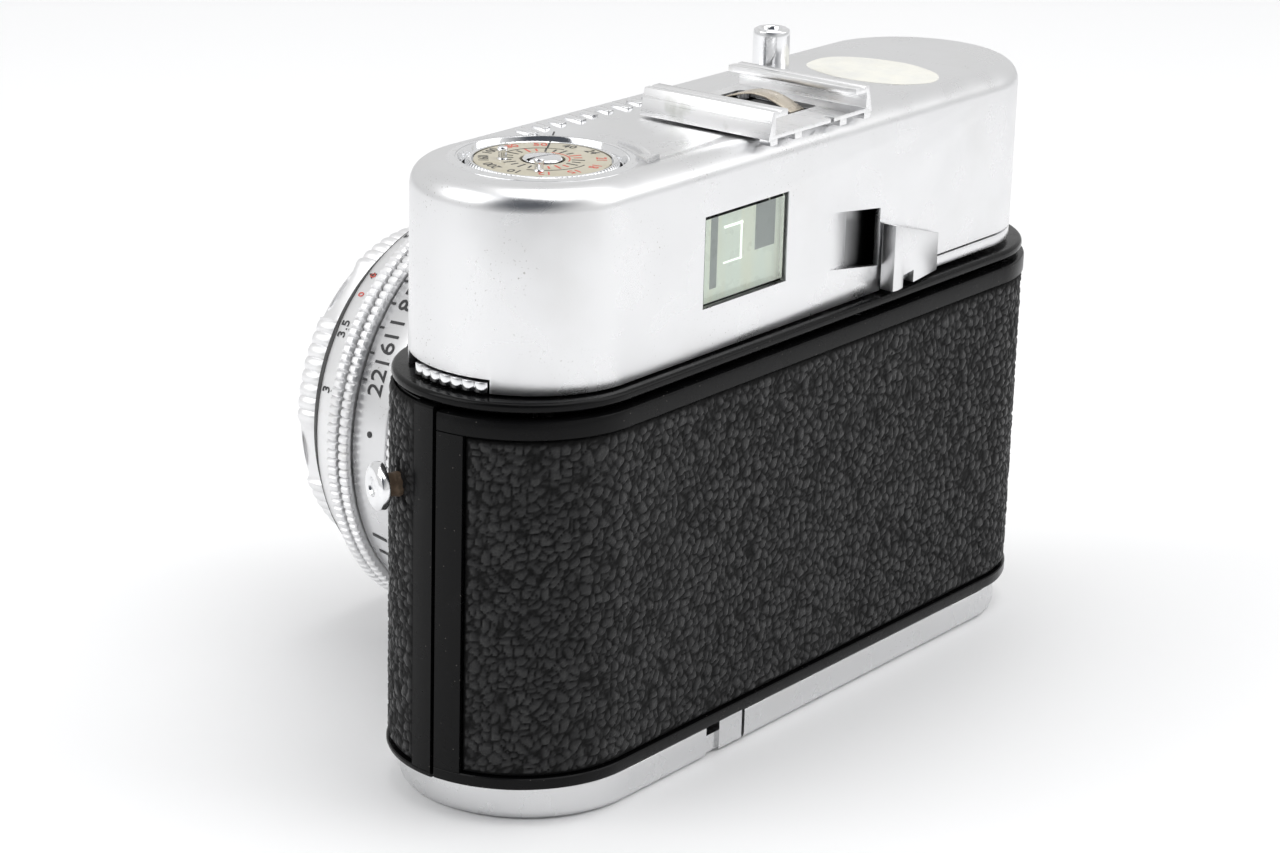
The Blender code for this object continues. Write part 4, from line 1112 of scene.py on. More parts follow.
def shoe():
    """The extruded shoe: slanting flanks, lips turned in, a shallow groove along its top and small feet under its
    back end.
    """
    low, high = SHOE_LOW.z, SHOE_HIGH.z
    half, half_top = (SHOE_HIGH.x - SHOE_LOW.x) / 2, (SHOE_HIGH.x - SHOE_LOW.x) / 2 - 0.8
    lip_half, slot_half = 6.95, 9.3
    floor, lip_low = low + 0.5, high - 0.8
    right = [(half, low), (half_top, high), (lip_half, high), (lip_half, lip_low), (slot_half, lip_low)]
    right += [(slot_half, floor)]
    groove = [(half_top - 0.9, high), (half_top - 1.05, high - 0.18), (half_top - 1.35, high - 0.18)]
    right[2:2] = groove + [(half_top - 1.5, high)]
    section = right + [(-x, z) for x, z in right[::-1]]
    outline = soften([(SHOE_X + x, z) for x, z in section], 0.08, 2)
    body = prism(outline, SHOE_LOW.y, SHOE_HIGH.y, 0.06, "Y")
    cutters = [slab((SHOE_X - 6.4, -2.2, low - 1), (SHOE_X + 2.2, 9.6, floor + 1), 0, 0.8)]
    cutters.append(
        slab((SHOE_X - 2.6, SHOE_HIGH.y - 1.2, low - 1), (SHOE_X - 1.9, SHOE_HIGH.y + 1, floor + 1), 0)
    )
    for i in (1, 2):
        rivet_low, rivet_high = box(f"shoe_rivet_{i}")
        middle = (rivet_low + rivet_high) / 2
        cutters.append(rod((middle.x, middle.y, low - 1), (middle.x, middle.y, floor + 1), 1.05, 24))
    shoe_body = carve(body, *cutters)
    piece("shoe_rails", shoe_body, ALLOY, "camera", ["accessory_shoe"])

    feet = None
    for x in (-slot_half - 0.4, -4.6, 4.6, slot_half + 0.2):
        foot = slab(
            (SHOE_X + x - 0.7, SHOE_HIGH.y - 1.6, low - 0.75),
            (SHOE_X + x + 0.7, SHOE_HIGH.y - 0.05, low + 0.1),
            0.06,
        )
        feet = merge(feet, foot) if feet else foot
    piece("shoe_feet", feet, ALLOY, "camera", [])

    # Painted shade: a dark sheet just above the cover, seen through the shoe's opening.
    well = slab((SHOE_X - 6.8, -2.6, COVER_HIGH.z + 0.02), (SHOE_X + 2.6, 10.0, COVER_HIGH.z + 0.12), 0)
    for i in (1, 2):
        rivet_low, rivet_high = box(f"shoe_rivet_{i}")
        middle = (rivet_low + rivet_high) / 2
        reach = (rivet_high.x - rivet_low.x) / 2
        top = rivet_high.z
        head = [(0, top - 0.1), (reach * 0.5, top - 0.08), (reach * 0.6, top), (reach, top - 0.05)]
        head += [(reach, top - 2.4), (0, top - 2.4)]
        bm = turned(head, 32, 0.04)
        bmesh.ops.translate(bm, vec=(middle.x, middle.y, 0), verts=bm.verts)
        piece(f"shoe_rivet_{i}_head", bm, STEEL, "camera", [f"shoe_rivet_{i}"])
        # Painted shade: a dark ring round each rivet on the cover under the shoe.
        shade_ring = [(reach + 0.06, 0.02), (1.6, 0.02), (1.6, 0.12), (reach + 0.06, 0.12)]
        ring = turned([(r, COVER_HIGH.z + z) for r, z in shade_ring], 32, 0)
        bmesh.ops.translate(ring, vec=(middle.x, middle.y, 0), verts=ring.verts)
        piece(f"shoe_rivet_{i}_well", ring, DARK, "camera", [])
    piece("shoe_opening_shade_plate", well, DARK, "camera", [])
    shoe_spring()


def shoe_spring():
    low, high = box("shoe_spring")
    steps, thick = 24, 0.25
    rise = high.z - low.z - thick
    upper = []
    for i in range(steps + 1):
        share = i / steps
        upper.append((low.y + (high.y - low.y) * share, low.z + thick + rise * sin(pi * share)))
    lower = [(y, z - thick) for y, z in upper]
    leaf = prism(upper + lower[::-1], low.x, high.x, 0.04, "X")
    piece("shoe_spring_leaf", leaf, STRIP, "camera", ["shoe_spring"])


# ---------------------------------------------------------------- rewind


def at_knob(bm):
    bmesh.ops.translate(bm, vec=(KNOB_X, 0, 0), verts=bm.verts)
    return bm


def teeth(count, depth, per_tooth):
    """How far a toothed rim is cut in at a station: narrow grooves between flat tooth tops."""

    def cut(i):
        phase = (i % per_tooth) / per_tooth
        return depth * max(0.0, 1 - 1.6 * abs(sin(pi * phase)))

    return count * per_tooth, cut


SCREW_TURN = -10.0


def knob():
    bezel_low, bezel_high = box("knob_bezel")
    outer = (bezel_high.x - bezel_low.x) / 2
    inner = 9.15
    top = bezel_high.z
    bezel = [(inner, top - 1.1), (inner + 0.12, top - 1.0), (outer - 0.5, top), (outer, top - 0.3)]
    bezel += [(outer, bezel_low.z), (inner, bezel_low.z)]
    bm = at_knob(turned(bezel, 120, 0.1))
    flare = [(outer - 0.2, COVER_HIGH.z - 0.15), (outer + 0.75, COVER_HIGH.z - 0.1)]
    flare += [(outer + 0.7, COVER_HIGH.z + 0.03), (outer - 0.2, top - 0.05)]
    merge(bm, at_knob(turned(flare, 120, 0.03)))
    piece("knob_bezel_ring", bm, POLISHED, "camera", ["knob_bezel"])

    radius = (KNOB_HIGH.x - KNOB_LOW.x) / 2
    top = KNOB_HIGH.z
    dial_low, dial_high = box("film_reminder_dial")
    dial = (dial_high.x - dial_low.x) / 2
    steps, cut = teeth(88, 0.3, 6)
    rim = [(dial + 0.2, top - 0.9), (dial + 0.2, top - 0.05), (dial + 0.32, top + 0.02), (radius - 0.3, top)]
    rim += [
        (radius, top - 0.35), (radius, 68.5), (radius - 0.2, 68.3), (3.2, 68.3), (3.2, 66.5), (2.25, 66.5)
    ]
    rim += [(2.25, top - 0.9)]

    def shape(i, j, r, z):
        return (r - cut(i), z) if r > radius - 0.4 else (r, z)

    piece(
        "rewind_knob_rim", at_knob(turned(rim, steps, 0, shape)), POLISHED, "rewind_knob", ["rewind_knob"],
    )

    screw = [
        (0, top + 0.42), (1.2, top + 0.40), (2.1, top + 0.25), (2.3, top), (2.1, top - 0.1), (0, top - 0.1)
    ]
    head = at_knob(turned(screw, 48, 0.06))
    head = carve(head, slab((KNOB_X - 3, -0.28, top + 0.02), (KNOB_X + 3, 0.28, top + 2), 0), bevel=0.04)
    # Painted shade: a dark strip just under the screw head's surface, seen in its slot.
    slot_shade = slab((KNOB_X - 1.9, -0.26, top + 0.03), (KNOB_X + 1.9, 0.26, top + 0.26), 0)
    turn = Matrix.Rotation(radians(SCREW_TURN), 3, "Z")
    for bm in (head, slot_shade):
        bmesh.ops.rotate(bm, cent=(KNOB_X, 0, 0), matrix=turn, verts=bm.verts)
    piece("knob_screw_slot_shade", slot_shade, DARK, "rewind_knob", [])
    piece("knob_screw_head", head, POLISHED, "rewind_knob", ["knob_screw"])
    keep(STEEL, "rewind_shaft", bevel=0.1)
    keep(BRASS, "rewind_sleeve", bevel=0.1)
    reminder_dial(dial, top)


def flat_place(x, y, z, turn):
    """Places marks flat on the dial, turned about their own middle."""

    def place(u, v, lift):
        return Vector((x + u * cos(turn) - v * sin(turn), y + u * sin(turn) + v * cos(turn), z + lift))

    return place


PINS = ((4.5, -47.0), (5.4, 35.0))


def reminder_dial(radius, top):
    disc = [(2.6, top - 0.6), (2.6, top - 0.02), (2.7, top), (radius - 0.25, top), (radius, top - 0.12)]
    disc += [(radius, top - 0.6)]
    piece("dial_disc", at_knob(turned(disc, 96, 0)), CREAM, "film_dial", ["film_reminder_dial"])
    pins = None
    for out, angle in PINS:
        x, y = KNOB_X + out * cos(radians(angle)), out * sin(radians(angle))
        profile = [
            (0, 1.42), (0.5, 1.4), (0.58, 1.25), (0.58, 1.0), (0.5, 0.85), (0.5, 0.15), (0.62, 0), (0, 0)
        ]
        pin = turned(profile, 28, 0.03)
        bmesh.ops.translate(pin, vec=(x, y, top), verts=pin.verts)
        pins = merge(pins, pin) if pins else pin
    piece("dial_pins", pins, POLISHED, "film_dial", [])
    black, red = dial_marks(top + 0.01)
    piece("dial_print_black", black, BLACK_INK, "film_dial", [])
    piece("dial_print_red", red, RED_INK, "film_dial", [])


def dial_marks(z):
    """Film speeds round the rim, red on one half and black on the other, and a ring of ticks."""
    groups = {"black": None, "red": None}
    numbers = ("10", "12", "15", "18", "21", "24", "40", "50", "80", "100", "160", "200")
    for i, number in enumerate(numbers):
        angle = TURN * i / len(numbers) + 0.2
        colour = "red" if i in (1, 2, 3, 4, 7, 8) else "black"
        x, y = KNOB_X + 6.6 * cos(angle), 6.6 * sin(angle)
        mark = numerals(number, 1.75, flat_place(x, y, z, angle - pi / 2), 0.03)
        groups[colour] = merge(groups[colour], mark) if groups[colour] else mark
    for i in range(24):
        angle = TURN * (i + 0.5) / 24 + 0.2
        colour = "red" if i in (2, 3, 4, 8, 9, 14, 15) else "black"
        x, y = KNOB_X + 4.05 * cos(angle), 4.05 * sin(angle)
        long = 1.5 if i % 2 else 1.0
        mark = mark_on(flat_place(x, y, z, angle - pi / 2), 0.22, long, 0.03)
        groups[colour] = merge(groups[colour], mark)
    for reach, first, last, colour in (
        (5.35, 20, 100, "black"), (5.0, 190, 300, "black"), (3.1, 110, 200, "red")
    ):
        outline = arc((KNOB_X, 0), reach + 0.07, first, last, 18) + arc(
            (KNOB_X, 0), reach - 0.07, last, first, 18
        )
        groups[colour] = merge(groups[colour], prism(outline, z - 0.015, z + 0.015, 0))
    return groups["black"], groups["red"]


INDEX_ANGLE = 213.0


def index_line():
    """A fine black line across the cover, the knob's rim and the dial's border."""
    direction = radians(INDEX_ANGLE)
    for name, first, last, z, body in (
        ("cover_index_line", 10.2, 12.6, COVER_HIGH.z + 0.02, "camera"),
        ("knob_index_line", 8.05, 8.4, KNOB_HIGH.z + 0.04, "rewind_knob"),
        ("dial_index_line", 5.0, 7.6, KNOB_HIGH.z + 0.02, "film_dial"),
    ):
        middle = (first + last) / 2
        x, y = KNOB_X + middle * cos(direction), middle * sin(direction)
        bar = mark_on(flat_place(x, y, z, direction - pi / 2), 0.2, last - first, 0.03)
        piece(name, bar, BLACK_INK, body, [])


def catch():
    """The knob's catch: a curved slide with a serrated face."""
    low, high = box("rewind_catch")
    centre = (COVER_END, 0)
    first, last = -27.0, 20.0
    inner, outer = COVER_RADIUS - 1.9, COVER_RADIUS + 0.4
    ridges = 7
    steps = ridges * 8
    face = []
    for i in range(steps + 1):
        angle = radians(first + (last - first) * i / steps)
        wave = 0.38 * abs(sin(pi * ridges * i / steps)) ** 0.6
        reach = outer - 0.38 + wave
        face.append((centre[0] + reach * cos(angle), centre[1] + reach * sin(angle)))
    outline = face + arc(centre, inner, last, first, 12)
    piece(
        "catch_slide_face", prism(outline, low.z, high.z, 0.1), POLISHED, "rewind_catch", ["rewind_catch"],
    )


# ---------------------------------------------------------------- release and advance


def release():
    top = BUTTON_HIGH.z
    radius = (BUTTON_HIGH.x - BUTTON_LOW.x) / 2
    profile = [(0, top - 3.6), (1.1, top - 3.2), (1.1, top - 0.5), (1.35, top - 0.05), (radius - 0.45, top)]
    profile += [
        (radius - 0.05, top - 0.25), (radius, top - 0.8), (radius, 68.8), (1.2, 68.8), (1.2, 58.0),
        (0, 58.0)
    ]
    bm = turned(profile, 56, 0.08)
    bmesh.ops.translate(bm, vec=(BUTTON_X, BUTTON_Y, 0), verts=bm.verts)
    piece("release_button_cap", bm, POLISHED, "release_button", ["release_button"])
    low, high = box("release_collar")
    outer = (high.x - low.x) / 2
    collar = [(2.45, high.z - 0.1), (2.7, high.z), (outer - 0.3, high.z - 0.1), (outer, COVER_HIGH.z + 0.05)]
    collar += [(outer, low.z), (2.45, low.z)]
    bm = turned(collar, 56, 0.08)
    bmesh.ops.translate(bm, vec=(BUTTON_X, BUTTON_Y, 0), verts=bm.verts)
    piece("release_collar_ring", bm, POLISHED, "camera", ["release_collar"])
    keep(BRASS, "release_bracket", bevel=0.15)
    keep(STEEL, "release_spring", "rewind_spring")


def lever():
    low, high = box("advance_lever")
    edge = COVER_RADIUS - 0.05
    outline = [(-13.2, 10.8), (-13.2, edge)]
    outline += arc((LEVER_X, 0), edge, 90, 150, 24)
    outline += arc((LEVER_X, 0), 5.0, 160, 380, 24)
    arm = prism(outline, low.z, low.z + 1.4, 0.1)
    piece("advance_lever_arm", arm, SATIN, "advance_lever", ["advance_lever"])
    fin, plate_end = -12.2, -24.5
    surface, outside = COVER_RADIUS + 0.3, high.y
    thumb = [(fin, surface), (fin, outside - 0.1), (fin - 0.9, outside), (plate_end, surface + 0.35)]
    thumb += [(plate_end, surface)]
    plate = prism(thumb, low.z, high.z, 0)
    slope = prism([(fin + 1, 60.05), (fin + 1, 64), (-26, 64), (-26, 55.65)], 12, 18, 0, "Y")
    notch = slab((-17.6, 12, 50), (-14.6, 18, 52.9), 0)
    plate = carve(plate, slope, notch, bevel=0.08)
    bridge = slab((-16.6, COVER_RADIUS - 1.5, low.z), (-13.4, surface + 0.2, low.z + 1.4), 0.08)
    piece("thumb_piece", merge(plate, bridge), SATIN, "advance_lever", [])
    keep(STEEL, "advance_shaft", bevel=0.15)
    keep(BRASS, "advance_gear", "idler_gear", bevel=0.05)


# ---------------------------------------------------------------- inside


def inside():
    keep(MATT, "chassis_floor", "cassette_wall", "takeup_wall", "film_gate", "light_baffle", bevel=0.15)
    keep(DARK, "iris_diaphragm", bevel=0.03)
    keep(STEEL, "pressure_spring", "shutter_plate", "shutter_blade_1", "shutter_blade_2", bevel=0.03)
    rails()
    pressure_plate()
    sprocket()
    spool()


def rails():
    """The two bright film rails on the gate."""
    high = box("film_gate")[1]
    for label, side_sign in (("upper", 1), ("lower", -1)):
        z = LENS_Z + side_sign * 13.4
        rail = slab((-12.4, high.y - 0.3, z - 0.75), (20.4, high.y + 0.04, z + 0.75), 0.12)
        piece("film_rail_" + label, rail, STEEL, "camera", [])


def pressure_plate():
    low, high = box("pressure_plate")
    plate = slab((low.x, low.y, low.z), (high.x, high.y, high.z), 0.15, 1.2)
    cutters = []
    for i in range(5):
        for j in range(6):
            x = low.x + (high.x - low.x) * (i + 0.5) / 5
            z = low.z + (high.z - low.z) * (j + 0.5) / 6
            cutters.append(rod((x, low.y - 1, z), (x, low.y + 0.3, z), 1.0, 20))
    cutters = [merge(*cutters)]
    piece("pressure_plate_face", carve(plate, *cutters), MATT, "back_door", ["pressure_plate"])


def sprocket():
    """The film sprocket with its two rows of teeth and the gear above the deck."""
    low, high = box("film_sprocket")
    gear_low, gear_high = box("idler_gear")
    teeth_count, radius, core = 8, 6.05, 3.4
    x, y = -23.9, 9.3 - radius
    profile = [(0, high.z), (1.5, high.z), (1.5, 47.5), (core, 47.5)]
    for top, bottom in ((44.9, 42.4), (14.8, 12.3)):
        profile += [(core, top), (radius - 0.7, top), (radius - 0.7, bottom), (core, bottom)]
    profile += [(core, low.z), (0, low.z)]
    bm = turned(profile, 56, 0.12)
    for z in (43.65, 13.55):
        for i in range(teeth_count):
            angle = TURN * i / teeth_count
            outline = [(radius - 1.0, -0.85), (radius - 0.45, -0.8), (radius, -0.4), (radius, 0.4)]
            outline += [(radius - 0.45, 0.8), (radius - 1.0, 0.85)]
            tooth = prism(outline, z - 0.7, z + 0.7, 0.12)
            bmesh.ops.rotate(tooth, cent=(0, 0, 0), matrix=Matrix.Rotation(angle, 3, "Z"), verts=tooth.verts)
            merge(bm, tooth)
    bmesh.ops.translate(bm, vec=(x, y, 0), verts=bm.verts)
    piece("film_sprocket_wheel", bm, POLISHED, "sprocket", [])
    hidden = frame["nodes"]["film_sprocket"]
    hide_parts("film_sprocket")
    gear = prism(gear_outline(x, y, 16, hidden), gear_low.z, gear_high.z, 0.05)
    piece("sprocket_gear_wheel", gear, BRASS, "sprocket", [])


def gear_outline(x, y, count, node):
    """Teeth for the sprocket's gear, lined up with the highest ones in the CAD node."""
    top = box("idler_gear")[1].z * MM
    rim = [v.co / MM for v in node.data.vertices if abs(v.co.z - top) < 1e-5]
    reach = [((p.x - x) ** 2 + (p.y - y) ** 2) ** 0.5 for p in rim]
    tips = [atan2(p.y - y, p.x - x) for p, r in zip(rim, reach) if r > max(reach) - 0.05]
    pitch = TURN / count
    turn = sum_angle([(a % pitch) for a in tips], pitch)
    points = []
    for i in range(count):
        for share, radius in ((-0.22, 4.44), (-0.10, 5.02), (0.10, 5.02), (0.22, 4.44)):
            angle = turn + pitch * (i + share)
            points.append((x + radius * cos(angle), y + radius * sin(angle)))
    return points


def sum_angle(values, pitch):
    """The mean of angles that repeat every pitch."""
    across = sum(cos(TURN * v / pitch) for v in values)
    along = sum(sin(TURN * v / pitch) for v in values)
    return atan2(along, across) * pitch / TURN


def spool():
    low, high = box("takeup_spool")
    core = 6.0
    rim = (high.x - low.x) / 2
    profile = [(0, high.z), (2.0, high.z), (2.0, 47.6), (rim, 47.6), (rim, 46.8), (core, 46.8)]
    profile += [(core, 8.2), (rim, 8.2), (rim, 7.4), (2.0, 7.4), (2.0, low.z), (0, low.z)]
    bm = turned(profile, 64, 0.15)
    bmesh.ops.translate(bm, vec=(LEVER_X, 0, 0), verts=bm.verts)
    slots = []
    for i in range(3):
        slot = slab((-0.6, 3.0, 14), (0.6, 8, 40), 0)
        turn = Matrix.Rotation(TURN * i / 3, 3, "Z")
        bmesh.ops.rotate(slot, cent=(0, 0, 0), matrix=turn, verts=slot.verts)
        bmesh.ops.translate(slot, vec=(LEVER_X, 0, 0), verts=slot.verts)
        slots.append(slot)
    piece(
        "takeup_spool_core", carve(bm, *slots, bevel=0.15), MATT, "takeup_spool", ["takeup_spool"],
    )


# ---------------------------------------------------------------- lens


def span_of(node):
    """(outer radius, rear, front) of a turned node on the lens axis."""
    low, high = box(node)
    return (high.x - low.x) / 2, -high.y, -low.y


def lens_turned(profile, steps=144, edge=0.12, shape=None):
    return turned(profile, steps, edge, shape, LENS_PLACE)


def beaded_ring(name, body, stands_for, beads, depth=0.4):
    """A setting ring whose rim is a row of round-topped beads."""
    outer, rear, front = span_of(stands_for)
    inner = 24.3
    shoulder = outer - 0.75
    steps, cut = teeth(beads, depth, 8)
    middle = (rear + front) / 2
    half = (front - rear) / 2
    profile = [(inner, front), (shoulder, front)]
    crown = 7
    for i in range(crown):
        t = -1 + 2 * i / (crown - 1)
        profile.append((outer - 0.22 * t**4, middle - t * half * 0.86))
    profile += [(shoulder, rear), (inner, rear)]

    def shape(i, j, radius, height):
        return (radius - cut(i), height) if radius > shoulder + 0.05 else (radius, height)

    piece(name, lens_turned(profile, steps, 0, shape), BEADS, body, [stands_for], sharp=35)


def housing():
    outer, rear, front = span_of("shutter_housing")
    bore = outer - 1.2
    tail = 17.4
    profile = [(bore, front - 0.1), (outer, front), (outer, 19.2), (tail, 19.2)]
    profile += [(tail, rear), (16.2, rear), (16.2, 20.4), (bore, 20.4)]
    piece("shutter_housing_skin", lens_turned(profile), DARK, "camera", ["shutter_housing"])
    flange, rear, front = span_of("lens_mount_flange")
    profile = [(17.9, front), (flange - 1.6, front), (flange - 1.3, front - 0.5), (flange, front - 0.9)]
    profile += [(flange, rear), (17.9, rear)]
    piece(
        "mount_flange_ring", lens_turned(profile), POLISHED, "camera", ["lens_mount_flange"],
    )


SCALE_RIM = 0.25


def aperture_radius(height):
    """The scale band is a slight cone, smaller towards the front."""
    outer, rear, front = span_of("aperture_scale")
    rear += SCALE_RIM
    return outer - (height - rear) / (front - rear)


def aperture_scale():
    outer, rear, front = span_of("aperture_scale")
    profile = [(24.45, front), (outer - 1.0, front), (outer, rear + SCALE_RIM)]
    profile += [(outer - 0.2, rear), (24.45, rear)]
    piece(
        "aperture_scale_band", lens_turned(profile), SATIN_GREY, "camera", ["aperture_scale"],
    )
    marks = None
    spacing = 7.4
    middle = rear + (front - rear) * 0.52
    for i, number in enumerate(("22", "16", "11", "8", "5.6", "4", "2.8")):
        angle = 21.0 + spacing * i
        mark = numerals(number, 3.7, on_cone(angle, middle, aperture_radius))
        marks = merge(marks, mark) if marks else mark
        dot = mark_on(on_cone(angle, front - 0.5, aperture_radius), 0.3, 0.7)
        merge(marks, dot)
    dot = numerals(".", 7.0, on_cone(7.0, middle + 1.6, aperture_radius))
    merge(marks, dot)
    for angle in (-24.0, -30.0):
        merge(marks, mark_on(on_cone(angle, middle, aperture_radius), 0.45, 2.6))
    for i in range(7):
        angle = 110.0 + 9.0 * i
        merge(marks, mark_on(on_cone(angle, middle + 1, aperture_radius), 0.35, 1.6))
        numeral = numerals(
            ("1", "2", "4", "8", "15", "30", "60")[i], 2.4, on_cone(angle, middle - 1.5, aperture_radius)
        )
        merge(marks, numeral)
    piece("aperture_numerals", marks, BLACK_INK, "camera", [])


NECK_RADIUS, NECK_REAR = 24.3, 44.3


def focus_radius(height):
    """The distance scale is a cone on the focusing ring, from its rear edge to its dark neck."""
    outer, rear = span_of("focus_ring")[:2]
    return outer - (height - rear) * (outer - NECK_RADIUS) / (NECK_REAR - rear)


def focus_ring():
    rear, front = span_of("focus_ring")[1:]
    lug_rear, lug_front = 47.1, 50.4
    lug_radius = 21.8
    ribs, per_rib = 78, 6
    pattern, lug_ribs = 13, 8
    profile = [(17.6, front), (19.9, front), (20.4, front - 0.25), (20.6, lug_front)]
    crown = 6
    for i in range(crown):
        t = -1 + 2 * i / (crown - 1)
        profile.append(
            (lug_radius - 0.3 * t**4, (lug_front + lug_rear) / 2 - t * (lug_front - lug_rear) * 0.46)
        )
    profile += [(20.8, lug_rear), (20.8, 46.55), (22.35, 46.5), (NECK_RADIUS, NECK_REAR)]
    profile += [(25.0, rear + 0.12), (24.9, rear), (17.6, rear)]

    def shape(i, j, radius, height):
        if not (20.9 < radius <= lug_radius and height > lug_rear):
            return radius, height
        rib, part = divmod(i, per_rib)
        place = rib % pattern
        if place >= lug_ribs:
            share = (place - lug_ribs + part / per_rib) / (pattern - lug_ribs)
            return radius - 1.25 * sin(pi * share) ** 0.45, height
        return radius - 0.38 * (1 - abs(sin(pi * part / per_rib)) ** 0.6), height

    ring = lens_turned(profile, ribs * per_rib, 0, shape)
    piece("focus_ring_grip", ring, BEADS, "focus_ring", ["focus_ring"], sharp=35)
    black, red = None, None
    middle = 42.95
    for i, number in enumerate(("3", "3.5", "4", "5", "7", "10", "15", "1.5", "2", "2.5", "1", "1.2")):
        angle = 15.0 + 18.5 * i
        mark = numerals(number, 2.1, on_cone(angle, middle + 0.15, focus_radius))
        black = merge(black, mark) if black else mark
        merge(black, mark_on(on_cone(angle, rear + 0.3, focus_radius), 0.25, 0.4))
    for angle in (45.0, 52.0, 130.0):
        mark = numerals("0", 1.5, on_cone(angle, middle, focus_radius))
        red = merge(red, mark) if red else mark
    piece("distance_numerals", black, BLACK_INK, "focus_ring", [])
    piece("distance_zone_marks", red, RED_INK, "focus_ring", [])
    # Painted reflection: the chrome neck is shown dark, as it reflects dark surroundings.
    neck = [(20.85, 46.62), (22.38, 46.57), (NECK_RADIUS + 0.05, NECK_REAR + 0.03)]
    neck += [(NECK_RADIUS - 0.3, NECK_REAR + 0.03), (20.85, 46.4)]
    piece("focus_neck_dark_reflection", lens_turned(neck, 144, 0), DARK, "focus_ring", [])


def groove_sleeves():
    """Dark sleeves that show as the grooves between the lens rings; their black is painted shade in the grooves."""
    scale_rear, scale_front = span_of("aperture_scale")[1:]
    gaps = ((scale_front - 0.1, 41.5), (29.5, scale_rear + 0.3), (19.0, 26.4))
    for i, (rear, front) in enumerate(gaps):
        # Painted shade in the gap between two rings.
        sleeve = [(24.02, front), (24.14, front), (24.14, rear), (24.02, rear)]
        piece(f"groove_sleeve_{i + 1}", lens_turned(sleeve, 144, 0), DARK, "camera", [])


def optics():
    outer, rear = span_of("lens_barrel")[:2]
    profile = [
        (12.35, 45.9), (12.6, 46.3), (12.9, 48.4), (13.6, 48.9), (13.9, 49.3), (14.8, 49.6), (15.2, 50.1)
    ]
    profile += [(16.9, 50.15), (outer, 49.9), (outer, rear), (12.35, rear)]
    piece("lens_barrel_bore", lens_turned(profile, 120, 0), DARK, "lens_cell", ["lens_barrel"])
    bright = [(15.3, 50.18), (15.9, 50.2), (15.95, 50.1), (15.3, 50.1)]
    piece("lens_front_ring", lens_turned(bright, 120, 0), POLISHED, "lens_cell", [])
    dome = [(0, 48.0)]
    radius = (box("front_lens_element")[1].x - box("front_lens_element")[0].x) / 2
    for i in range(1, 13):
        r = radius * i / 12
        dome.append((r, 48.0 - 2.4 * (r / radius) ** 2))
    dome += [(radius, 44.0), (6, 43.4), (0, 43.2)]
    glass_front = lens_turned(dome, 96, 0)
    piece(
        "front_element", glass_front, COATED, "lens_cell", ["front_lens_element"], sharp=40
    )
    dome = [(0, 18.6), (4, 18.5), (8, 18.2), (12, 17.6), (15.9, 16.8), (15.9, 15.6), (12, 15.0), (8, 14.6)]
    dome += [(4, 14.4), (0, 14.3)]
    piece(
        "rear_element", lens_turned(dome, 96, 0), COATED, "camera", ["rear_lens_element"],
        sharp=40
    )


def lens():
    housing()
    groove_sleeves()
    aperture_scale()
    beaded_ring("aperture_ring_beads", "aperture_ring", "aperture_ring", 150)
    beaded_ring("speed_ring_beads", "speed_ring", "speed_ring", 150)
    beaded_ring("sync_ring_beads", "sync_ring", "sync_ring", 130)
    focus_ring()
    optics()


# ---------------------------------------------------------------- studio


def studio():
    bm = bmesh.new()
    bmesh.ops.create_grid(bm, x_segments=2, y_segments=2, size=6.0)
    mesh = bpy.data.meshes.new("studio_floor")
    bm.to_mesh(mesh)
    bm.free()
    floor = bpy.data.objects.new("studio_floor", mesh)
    floor.location.z = (box("base_plate")[0].z - 0.05) * MM
    bpy.context.scene.collection.objects.link(floor)
    s = Surface("studio_paper", (0.96, 0.96, 0.962), 0.6)
    s.tint(s.span(s.noise(120.0, 3.0), 0.3, 0.8, 0.0, 0.5), (0.94, 0.94, 0.945))
    s.bump(s.noise(3.0, 4.0), 0.01)
    floor.data.materials.append(s.material)
    lights()
    world()


def lights():
    """A wide soft box overhead, one from the left of the picture and a weak one from the right."""
    aim = Vector((0.0, 0.0, 0.04))
    for name, azimuth, elevation, far, size, power in (
        ("overhead_box", 200.0, 78.0, 0.9, 0.9, 4.6),
        ("left_box", 60.0, 38.0, 1.0, 0.7, 3.4),
        ("right_box", 215.0, 30.0, 1.1, 0.7, 2.2),
    ):
        data = bpy.data.lights.new(name, "AREA")
        data.shape = "SQUARE"
        data.size = size
        data.energy = power
        lamp = bpy.data.objects.new(name, data)
        a, e = radians(azimuth), radians(elevation)
        back = Vector((sin(a) * cos(e), -cos(a) * cos(e), sin(e)))
        lamp.location = aim + back * far
        lamp.rotation_mode = "QUATERNION"
        lamp.rotation_quaternion = (-back).to_track_quat("-Z", "Y")
        bpy.context.scene.collection.objects.link(lamp)


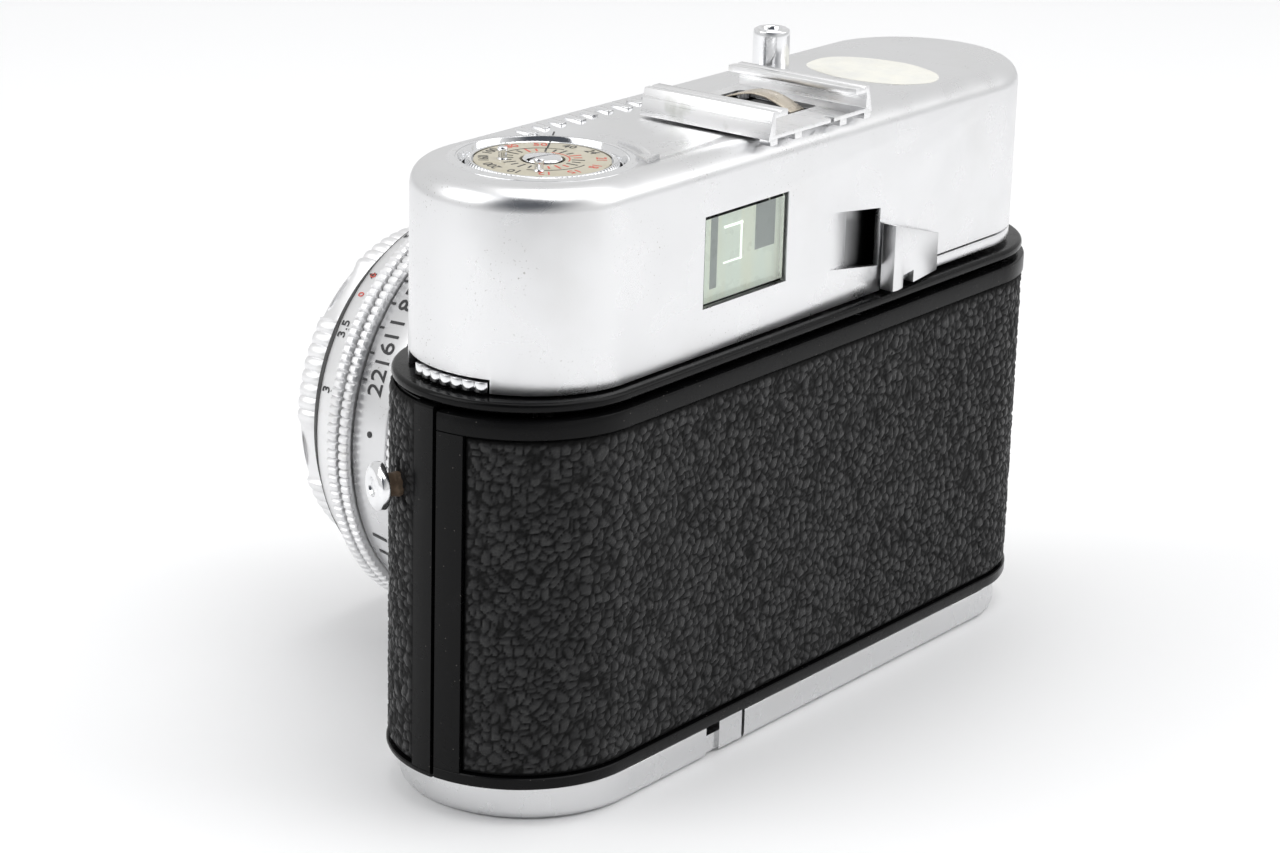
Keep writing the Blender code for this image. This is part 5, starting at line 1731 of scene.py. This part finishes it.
def world():
    """A white room with one darker part, where the photographer would stand."""
    scene = bpy.context.scene
    scene.world = bpy.data.worlds.new("white_room")
    scene.world.use_nodes = True
    tree = scene.world.node_tree
    back = tree.nodes["Background"]
    back.inputs["Strength"].default_value = 0.78
    coords = tree.nodes.new("ShaderNodeTexCoord")
    toward = tree.nodes.new("ShaderNodeVectorMath")
    toward.operation = "DOT_PRODUCT"
    a, e = radians(120.0), radians(42.0)
    toward.inputs[1].default_value = (sin(a) * cos(e), -cos(a) * cos(e), sin(e))
    tree.links.new(coords.outputs["Generated"], toward.inputs[0])
    ramp = tree.nodes.new("ShaderNodeValToRGB")
    ramp.color_ramp.elements[0].position = 0.55
    ramp.color_ramp.elements[0].color = (1.0, 1.0, 1.0, 1)
    ramp.color_ramp.elements[1].position = 0.9
    ramp.color_ramp.elements[1].color = (0.10, 0.11, 0.13, 1)
    tree.links.new(toward.outputs["Value"], ramp.inputs["Fac"])
    tree.links.new(ramp.outputs["Color"], back.inputs["Color"])
    scene.view_settings.view_transform = "Standard"


def camera():
    """The photograph's viewing angle."""
    azimuth, elevation, roll = radians(127.162), radians(18.42), radians(1.616)
    target, distance = Vector((13.299, -3.0, 35.958)) * MM, 418.73 * MM
    back = Vector((sin(azimuth) * cos(elevation), -cos(azimuth) * cos(elevation), sin(elevation)))
    right = (-back).cross(Vector((0, 0, 1))).normalized()
    up = right.cross(-back)
    across = right * cos(roll) + up * sin(roll)
    upright = up * cos(roll) - right * sin(roll)
    data = bpy.data.cameras.new("photo_camera")
    data.sensor_width = 36.0
    data.lens = 96.83
    data.clip_start, data.clip_end = 0.01, 50.0
    view = bpy.data.objects.new("photo_camera", data)
    turn = Matrix((across, upright, back)).transposed()
    view.matrix_world = Matrix.Translation(target + back * distance) @ turn.to_4x4()
    bpy.context.scene.collection.objects.link(view)
    bpy.context.scene.camera = view


# ---------------------------------------------------------------- assembly

camera()
studio()
body_walls()
leather()
deck()
strap_lugs()
base()
top_cover()
top_marks()
finder()
shoe()
knob()
index_line()
catch()
release()
lever()
inside()
lens()
